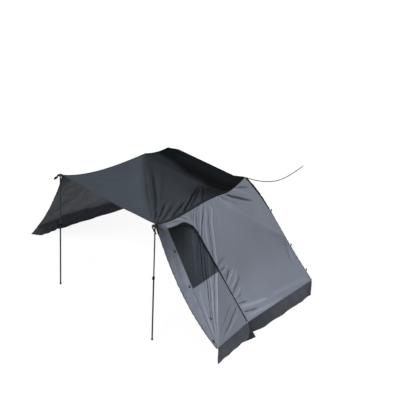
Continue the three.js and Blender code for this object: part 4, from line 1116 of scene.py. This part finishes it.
class TENT_OT_walls(bpy.types.Operator):
    """Both side walls, their rear strips and bindings, and the strap inside the left wall"""
    bl_idname = "tent.walls"
    bl_label = "Walls"

    def execute(self, context):
        pucker = context.scene.tent_cloth.pucker
        for side in (RIGHT, LEFT):
            self.rear_strip(side, pucker)
            self.binding(side, REAR, "rear", 1.0, 0.07)
            self.binding(side, FRONT, "front", 1.15, 0.38)
        self.right_cloth(RIGHT, pucker)
        self.left_cloth(LEFT, pucker)
        s = np.linspace(2.0, 2.55, 60)
        t = np.full_like(s, 0.951)
        strap = swept("foot_strap_left", wall(LEFT, s, t, -FOOT_STRAP_INSET), wall_out(LEFT, s, t),
                      section_box(FOOT_STRAP_WIDTH, FOOT_STRAP_THICK), "webbing")
        placed(strap, "tent", "webbing", "inner_strap_left")
        return {"FINISHED"}

    def rear_strip(self, side, pucker):
        """Strip of a wall from its rear edge to its hinge line, gathered along both."""
        name = side["name"]
        t, s = grid(np.linspace(0, 1, 320), np.linspace(REAR, HINGE, 40))
        points, shade = folded_wall(side, s, t)
        seam, rear = (down_line(side, line, np.linspace(0, 1, 80)) for line in (HINGE, REAR))
        out = wall_out(side, s, t)
        wave = 0.5 * seam_wave(points, seam, 0.04) + 0.5 * seam_wave(points, rear, 0.03)
        points += out * (1.2 * pucker * wave)[..., None]
        uneven = ripple(points * (1, 1, 0.5), 0.16, 14)
        # Painted light and shade: painted shade towards the top and the painted shade of folds, gathers and
        # creases, then lighter just under the roof seam towards the hinge, darker by the rear edge and lighter
        # by the hinge
        tone = (0.33 + 0.68 * rise(0.0, 0.50, t)) * shaded(shade + 1.1 * wave + 0.35 * uneven, 0.35, 0.25)
        tone += 0.45 * np.exp(-(t / 0.035) ** 2) * rise(0.3, 0.9, s)
        tone *= 1 - 0.25 * np.exp(-(s - REAR) / 0.10) + 0.16 * np.exp(-(HINGE - s) / 0.15)
        cloth_piece(f"wall_{name}_strip", f"wall_{name}_rear_strip", points, out.mean((0, 1)),
                    ("wall_cloth", "wall_inside_painted_shade"), [seam, rear], tone)

    def binding(self, side, line, kind, width, black_share):
        """Tape down a free edge of a wall, wider and uneven near its top, on the right black down to a share
        of its length and then paler."""
        x = np.linspace(0, 1, 150)
        t = BINDING_SHARES[0] + (BINDING_SHARES[1] - BINDING_SHARES[0]) * x
        s = np.full_like(t, float(line))
        out = wall_out(side, s, t)
        wave = BINDING_WAVE * np.sin(2 * math.pi * x * 21) * rise(0, 0.2, x) * (1 - rise(0.8, 1, x))
        path = wall(side, s, t) + out * wave[:, None]
        uneven = ripple(path, 0.12, 17)
        if line == REAR:
            wide = 1 + 0.25 * uneven + 1.7 * (1 - rise(0.050, 0.075, x))
        else:
            wide = 1 + (1.3 + 0.5 * uneven) * (1 - rise(0.16, 0.36, x))
        tape = swept(f"{kind}_tape_{side['name']}", path, out,
                     section_round(BINDING[0] * width, 14, BINDING[1] / BINDING[0]), "webbing",
                     np.stack([wide, np.minimum(wide, 1.5)], -1))
        if side is RIGHT:
            mesh = tape.data
            mesh.materials.append(coats["edge_tape"])
            count = len(mesh.polygons)
            paler = np.arange(count) > black_share * count
            paler[-2:] = (False, True)
            mesh.polygons.foreach_set("material_index", paler.astype(np.int32))
        placed(tape, "tent", "webbing", f"{kind}_binding_{side['name']}")

    def right_cloth(self, side, pucker):
        """Cloth round the door: its rows run from the zip out to the hinge line, the roof's edge and the
        front."""
        count, kink_at, wing_at = 300, 140, 180
        k = np.arange(count + 1)
        inner_s, inner_t = zip_line(k / count, ZIP_INSET)
        inner_s[0] = HINGE
        s = np.where(k < kink_at, HINGE + (KINK_LINE - HINGE) * k / kink_at,
                     np.minimum(KINK_LINE + (k - kink_at) / (wing_at - kink_at), FRONT))
        t = np.where(k < wing_at, 0.0, (k - wing_at) / (count - wing_at))
        share = np.linspace(0, 1, 150)[:, None]
        s, t = s + (inner_s - s) * share, t + (inner_t - t) * share
        points, shade = folded_wall(side, s, t)
        out = wall_out(side, s, t)
        zip_edge = wall(side, *zip_line(np.linspace(0, 1, 90), ZIP_HALF))
        top, low = edge(side, np.linspace(0.1, 2, 60)), foot(side, np.linspace(1, 2, 8))
        wave = seam_wave(points, zip_edge, 0.05) + seam_wave(points, top, 0.07) * 1.3 * rise(1.7, 2.3, s)
        points += out * (pucker * wave)[..., None]
        # The folds' painted shade, with the painted shade of the gathers by the zip and the roof seam
        tone = self.tone(s, t) * shaded(shade + 0.3 * wave, 0.60, 0.50)
        cloth_piece("wall_right_cloth", "wall_right_panel", points, out.mean((0, 1)),
                    ("wall_cloth", "wall_inside_painted_shade"), [zip_edge, top, low], tone)

    def tone(self, s, t):
        """Right cloth's painted light and shade: painted light in the pull folds below the kink, lighter above
        a diagonal that runs from the kink to the front edge and darkest right under it, and lighter again
        towards the foot."""
        front = rise(2.5, 3.1, s)
        below = t - (0.107 + 0.41 * (s - 2.83))
        above = 1 - rise(-0.012, 0.012, below)
        under = (1 - above) * np.exp(-np.maximum(below, 0) / 0.10) * (0.4 + 0.6 * rise(3.1, 3.7, s))
        tone = 0.935 + 0.26 * rise(0.50, 0.90, t) * (1 - 0.4 * front)
        tone *= 1 + 0.06 * (1 - rise(0.15, 0.45, t)) * (1 - front)
        return tone * (1 + front * (0.09 * above - 0.16 * under))

    def left_cloth(self, side, pucker):
        """Left wall in front of its rear strip, lighter towards the vehicle, with a dark sewn line above its
        foot."""
        t, s = grid(np.linspace(0, 1, 130), np.linspace(HINGE, FRONT, 190))
        points, shade = folded_wall(side, s, t)
        out = wall_out(side, s, t)
        top, low = edge(side, np.linspace(0.1, 2, 60)), foot(side, np.linspace(0, 2, 12))
        wave = seam_wave(points, top, 0.07) * 1.3
        points += out * (pucker * wave)[..., None]
        # Lighter towards the vehicle, with a dark sewn line above the foot, times the folds' and gathers'
        # painted shade at weaker strength
        tone = (0.80 + 0.26 * rise(1.2, 2.4, s)) * (1 - 0.7 * np.exp(-((1 - t) / 0.014) ** 2))
        cloth_piece("wall_left_cloth", "wall_left_panel", points, out.mean((0, 1)),
                    ("wall_cloth", "wall_inside_painted_shade"), [top, low],
                    tone * shaded(0.5 * shade + 0.2 * wave, 0.25, 0.2))


def seam_wave(points, line, reach):
    """Small gathers beside a seam: a sine along the seam, its phase and height wandering, fading with
    distance."""
    gap, run = line_field(points, line)
    pitch = bpy.context.scene.tent_cloth.pucker_pitch
    wave = np.sin(2 * math.pi * run / pitch + 3.0 * ripple(points, 0.35, 4))
    uneven = np.clip(0.45 + 0.8 * ripple(points, 0.28, 6), 0, 1.2)
    return uneven * wave * np.exp(-gap / reach) * rise(0.0, 0.012, gap)


def shaded(shade, darker, lighter):
    """Colour factor that paints a fold's shade: valleys painted darker and crests painted lighter by the given
    shares.
    """
    return np.maximum(1 + np.where(shade < 0, darker, lighter) * shade, 0.15)


class TENT_OT_door(bpy.types.Operator):
    """Door with its mesh window, the zip round it and the welt down its hinge"""
    bl_idname = "tent.door"
    bl_label = "Door"

    def execute(self, context):
        side = RIGHT
        zip_edge = wall(side, *zip_line(np.linspace(0, 1, 90), -ZIP_HALF))
        hinge = down_line(side, HINGE, np.linspace(ARCH_START_SHARE, 1, 60))
        cross = wall(side, np.linspace(HINGE, ZIP, 20), np.full(20, WINDOW_SHARE))

        arch_s, arch_t = zip_line(np.linspace(0, 0.5, 141), -ZIP_INSET)
        arch_s[0] = HINGE
        foot_s = arch_s.copy()
        foot_s[-1] = shifted(side, np.array(float(ZIP)), np.array(WINDOW_SHARE), -ZIP_INSET, 0)[0]
        share = np.linspace(0, 1, 160)[:, None]
        s, t = arch_s + (foot_s - arch_s) * share, arch_t + (WINDOW_SHARE - arch_t) * share
        points, shade = folded_wall(side, s, t)
        # Painted light and shade on the window: painted shade darkest at its top and easing down and towards
        # the zip side, a lighter band below the arch, the folds' painted shade, and painted shade along the zip
        # edge
        tone = 0.17 + 1.0 * rise(0.05, 0.36, t) * (0.70 + 0.30 * rise(1, 1.8, s))
        tone += 0.40 * rise(1.30, 1.90, s) * rise(0.06, 0.15, t) * (1 - rise(0.20, 0.36, t))
        gap, _ = line_field(points, zip_edge)
        tone *= shaded(shade, 0.72, 0.55) * (1 - 0.80 * np.exp(-(gap / 0.030) ** 2))
        cloth_piece("window", "door_window", points, wall_out(side, s, t).mean((0, 1)), ("window_mesh",),
                    [zip_edge, hinge, cross], tone, body="door")

        t, share = grid(np.linspace(WINDOW_SHARE, 1, 180), np.linspace(0, 1, 160))
        last, _ = shifted(side, np.full(180, float(ZIP)), t[:, 0], -ZIP_INSET, 0)
        s = HINGE + (last[:, None] - HINGE) * share
        points, shade = folded_wall(side, s, t)
        # Painted light and shade on the door cloth: lighter than the wall and a little more so towards the
        # foot, painted shade on the zip side of its long fold ridge, and the folds' painted shade
        ridge = along((1.90, 1.605, 1.355, 1.110), (t - 0.537) / 0.138)
        tone = 1.20 + 0.08 * rise(0.5, 1.0, t) - 0.27 * rise(-0.01, 0.035, s - ridge)
        cloth_piece("door_cloth", "door_panel", points, wall_out(side, s, t).mean((0, 1)),
                    ("wall_cloth", "wall_inside_painted_shade"), [zip_edge, hinge, cross, foot(side, np.linspace(0, 1, 8))],
                    tone * shaded(shade, 0.58, 0.33), body="door")
        self.zip("tent", 1)
        self.zip("door", -1)
        self.welt()
        return {"FINISHED"}

    def zip(self, body, sign):
        """One of two tapes that lie side by side, with its row of teeth: one stays on the tent, one goes
        with the door."""
        x = np.linspace(0, 1, 1400)
        few = x[::7]
        wide = 1.25 + 0.70 * rise(0.10, 0.28, few) - 0.50 * rise(0.48, 0.60, few)
        wide = wide - 0.45 * rise(0.68, 0.80, few)
        s, t = zip_line(few, sign * wide * ZIP_HALF / 2)
        tape = swept(f"zip_tape_{body}", wall(RIGHT, s, t, TAPE_LIFT), wall_out(RIGHT, s, t),
                     section_box(ZIP_HALF, TAPE_THICK, 0.3, 12), "webbing", wide)
        placed(tape, body, "webbing", "zip_tape")
        s, t = zip_line(x, sign * TEETH_GAP)
        path = wall(RIGHT, s, t, TEETH_LIFT)
        turn = 2 * math.pi * run_length(path) / TEETH_PITCH + (0 if sign > 0 else math.pi)
        teeth = swept(f"zip_teeth_{body}", path, wall_out(RIGHT, s, t), section_round(TEETH_RADIUS, 6),
                      "plastic", 1 + 0.25 * np.sin(turn))
        placed(teeth, body, "plastic")

    def welt(self):
        """Sewn welt down the hinge, which covers the joint between strip and door at every angle."""
        t = np.linspace(ARCH_START_SHARE, 0.998, 120)
        out = wall_out(RIGHT, np.full_like(t, float(HINGE)), t)
        welt = swept("hinge_welt", down_line(RIGHT, HINGE, t, WELT_LIFT), out, section_round(WELT_RADIUS, 10),
                     "edge_tape")
        placed(welt, "tent", "webbing")


class TENT_OT_skirts(bpy.types.Operator):
    """Ground skirts below both walls"""
    bl_idname = "tent.skirts"
    bl_label = "Skirts"

    def execute(self, context):
        for side, node, body, first, last in (
            (RIGHT, "door_skirt", "door", FOOT_SHARES[HINGE], 1),
            (RIGHT, "skirt_right_front", "tent", 0.88, 2),
            (LEFT, "skirt_left_rear", "tent", FOOT_SHARES[HINGE], 1),
            (LEFT, "skirt_left_front", "tent", 0.90, 2),
        ):
            v, b = grid(np.linspace(0, 1, 40), np.linspace(first, last, 240))
            points = skirt(side, b, v)
            # Painted light and shade of the skirts: the door skirt light up to its flap's curved edge, with a
            # painted highlight along that edge and painted shade past it; the right front skirt lighter towards
            # the front and darker past a slanted line by the front corner; the left skirts lighter halfway
            # down; all a little uneven at random
            flap = b - (1.0 - 0.03 * v - 0.13 * v * v)
            if node == "door_skirt":
                tone = 1.22 - 0.80 * rise(-0.010, 0.012, flap) + 0.35 * np.exp(-(flap / 0.007) ** 2)
            elif side is RIGHT:
                tone = 0.73 + 0.49 * rise(1.0, 1.7, b) - 0.34 * rise(-0.02, 0.02, (b - 1.88) - 0.10 * (1 - v))
            else:
                tone = 0.62 + 0.12 * np.sin(math.pi * v)
            cloth_piece(f"{node}_cloth", node, points, (side["sign"], 0, 0.2), ("skirt_cloth",),
                        [foot(side, np.linspace(first, last, 10)), points[-1]],
                        tone * (1 + 0.10 * ripple(points, 0.25, 31)),
                        body=body)
        return {"FINISHED"}


def upright(node):
    """Axis (x, y), radius, lowest and highest height of an upright round CAD node, from its box."""
    low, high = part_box(node)
    return ((low.x + high.x) / 2, (low.y + high.y) / 2), (high.x - low.x) / 2, low.z, high.z


def tube(inner, outer, low, high):
    """Profile of a tube between two heights."""
    return [(inner, low), (outer, low), (outer, high), (inner, high), (inner, low)]


def offsets(radius, height, steps):
    """Points of a profile, given as steps in metres from a radius and a height."""
    return [(radius + out, height + up) for out, up in steps]


class TENT_OT_poles(bpy.types.Operator):
    """Telescopic poles with their shoes, collars and spikes"""
    bl_idname = "tent.poles"
    bl_label = "Poles"

    def execute(self, context):
        segments = context.scene.tent_fitting.segments
        for name in ("right", "left"):
            pole = f"pole_{name}"
            axis, outer, low, high = upright(f"{pole}_lower_tube")
            bore, cup = outer - TUBE_WALL, outer + TUBE_GAP
            inner = bore - TUBE_GAP
            core = inner - TUBE_WALL
            profiles = {"lower_tube": tube(bore, outer, low, high)}
            _, _, low, high = upright(f"{pole}_upper_tube")
            profiles["upper_tube"] = tube(core, inner, low, high)
            _, radius, low, high = upright(f"{pole}_shoe")
            floor = low + SHOE_FLOOR
            profiles["shoe"] = [(0, low), *offsets(radius, low, SHOE_RIM), (cup + SHOE_WALL, low + SHOE_NECK),
                                (cup + SHOE_WALL, high), (cup, high), (cup, floor), (0, floor)]
            _, radius, low, high = upright(f"{pole}_collar")
            grips = [point for k in range(1, GRIP_COUNT + 1)
                     for point in offsets(radius, low + k * GRIP_PITCH, GRIP)]
            stop = high - COLLAR_LIP + COLLAR_STOP
            profiles["collar"] = [(cup, low), *offsets(radius, low, COLLAR_FOOT), *grips,
                                  *offsets(radius, high, COLLAR_TOP), (bore, high), (bore, stop), (cup, stop),
                                  (cup, low)]
            _, _, low, high = upright(f"{pole}_spike")
            neck = high - SPIKE_NECK
            head = neck - SPIKE_HEAD
            profiles["spike"] = [(0, low), (core - TUBE_GAP, low), (core - TUBE_GAP, head), (inner, head),
                                 *offsets(0, neck, SPIKE_SHOULDER), *offsets(0, high, SPIKE_TIP), (0, high)]
            for piece, (body, finish) in POLE_PIECES.items():
                made = turned(f"{piece}_{name}", profiles[piece], axis, finish, segments)
                placed(made, f"{pole}_{body}", finish, f"{pole}_{piece}")
            bevelled_node(f"{pole}_lever", LEVER_EDGE)
        return {"FINISHED"}


class TENT_OT_corners(bpy.types.Operator):
    """Corner tabs, grommets, tails and buckles at the poles"""
    bl_idname = "tent.corners"
    bl_label = "Corner fittings"

    def execute(self, context):
        for sign, name in ((1, "right"), (-1, "left")):
            axis, radius, low, high = upright(f"corner_tab_{name}")
            profile = [(TAB_HOLE, low), *offsets(radius, low, TAB_FOOT), *offsets(radius, high, TAB_TOP),
                       (TAB_HOLE, high), (TAB_HOLE, low)]
            tab = turned(f"corner_patch_{name}", profile, axis, "webbing")
            placed(tab, "tent", "webbing", f"corner_tab_{name}")
            _, radius, low, high = upright(f"grommet_{name}")
            under, over = (low + high) / 2 - EYELET_GAP, (low + high) / 2 + EYELET_GAP
            bore, lip, rim = EYELET_BORE, EYELET_BORE + EYELET_RIM, radius - EYELET_RIM
            foot, top, neck = low + EYELET_BEVEL, high - EYELET_BEVEL, EYELET_NECK
            profile = [(bore, foot), (lip, low), (rim, low), (radius, under), (neck, under), (neck, over),
                       (radius, over), (rim, high), (lip, high), (bore, top), (bore, foot)]
            ring = turned(f"eyelet_{name}", profile, axis, "steel")
            placed(ring, "tent", "steel", f"grommet_{name}")
            low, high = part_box(f"corner_tail_{name}")
            down = np.array((sign * math.sin(TAIL_LEAN), 0, -math.cos(TAIL_LEAN)))
            head = np.array((low.x if sign > 0 else high.x, (low.y + high.y) / 2, high.z))
            head += np.array((sign * math.cos(TAIL_LEAN), 0, -math.sin(TAIL_LEAN))) * TAIL_WIDTH / 2
            length = np.linspace(0, TAIL_LENGTH, 50)[:, None]
            path = head + length * down + TAIL_SWAY * np.sin(length * 40) * (0, 1, 0)
            tail = swept(f"webbing_tail_{name}", path, (0, -1, 0), section_box(TAIL_WIDTH, TAIL_THICK),
                         "webbing", tips=False)
            placed(tail, "tent", "webbing", f"corner_tail_{name}")
            bevelled_node(f"corner_buckle_{name}", BUCKLE_EDGE)
        return {"FINISHED"}


class TENT_OT_fittings(bpy.types.Operator):
    """Toggle bars, and softer edges for the loops, hooks, zip slider and strap buckle of the CAD model"""
    bl_idname = "tent.fittings"
    bl_label = "Fittings"

    def execute(self, context):
        kept = ("front_hook", "strap_buckle", "strap_hook", "zip_", "peg_loop", "toggle_loop")
        for node, obj in frame["nodes"].items():
            if node.startswith(kept) and not obj.hide_render:
                bevelled_node(node, FITTING_EDGE)
                if node.startswith("front_hook"):
                    grow = obj.modifiers.new("Grow", "DISPLACE")
                    grow.strength = HOOK_GROWTH
                    grow.mid_level = 0.0
        for k, place in enumerate(("upper", "middle", "lower"), 1):
            self.toggle(f"toggle_bar_{k}", f"toggle_{place}", f"toggle_{k}")
        return {"FINISHED"}

    def toggle(self, name, body, node):
        """Toggle bar: a round bar with a waist in the middle and full ends, in the CAD bar's own place."""
        vertices = frame["nodes"][node].data.vertices
        points = np.zeros(len(vertices) * 3)
        vertices.foreach_get("co", points)
        points = points.reshape(-1, 3)
        middle = (points.max(0) + points.min(0)) / 2
        _, axes = np.linalg.eigh(np.cov((points - middle).T))
        reach = np.abs((points - middle) @ axes[:, -1]).max() - TOGGLE_TIP
        x = np.linspace(-1, 1, 40)
        bar = swept(name, middle + axes[:, -1] * (x * reach)[:, None], axes[:, 0],
                    section_round(TOGGLE_RADIUS, 20), "plastic", 1 - 0.32 * np.exp(-(x / 0.3) ** 2))
        placed(bar, body, "plastic", node)


class TENT_PT_panel(bpy.types.Panel):
    """Lists the tent's pieces and settings"""
    bl_label = "Vehicle rear tent"
    bl_idname = "TENT_PT_panel"
    bl_space_type = "VIEW_3D"
    bl_region_type = "UI"
    bl_category = "Tent"

    def draw(self, context):
        for settings in (context.scene.tent_cloth, context.scene.tent_fitting, context.scene.tent_stage):
            box = self.layout.box()
            for name in settings.__annotations__:
                box.prop(settings, name)
        for operator in OPERATORS:
            self.layout.operator(operator.bl_idname)


OPERATORS = (TENT_OT_materials, TENT_OT_stage, TENT_OT_strap, TENT_OT_roof, TENT_OT_walls, TENT_OT_door,
             TENT_OT_skirts, TENT_OT_poles, TENT_OT_corners, TENT_OT_fittings)
SETTINGS = (("tent_cloth", TentClothSettings), ("tent_fitting", TentFittingSettings),
            ("tent_stage", TentStageSettings))


def register():
    for name, settings in SETTINGS:
        bpy.utils.register_class(settings)
        setattr(bpy.types.Scene, name, PointerProperty(type=settings))
    for cls in (*OPERATORS, TENT_PT_panel):
        bpy.utils.register_class(cls)


def unregister():
    for cls in (TENT_PT_panel, *reversed(OPERATORS)):
        bpy.utils.unregister_class(cls)
    for name, settings in reversed(SETTINGS):
        delattr(bpy.types.Scene, name)
        bpy.utils.unregister_class(settings)


def main():
    """Registers the add-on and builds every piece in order."""
    register()
    for operator in OPERATORS:
        area, name = operator.bl_idname.split(".")
        getattr(getattr(bpy.ops, area), name)()


if __name__ == "__main__":
    main()
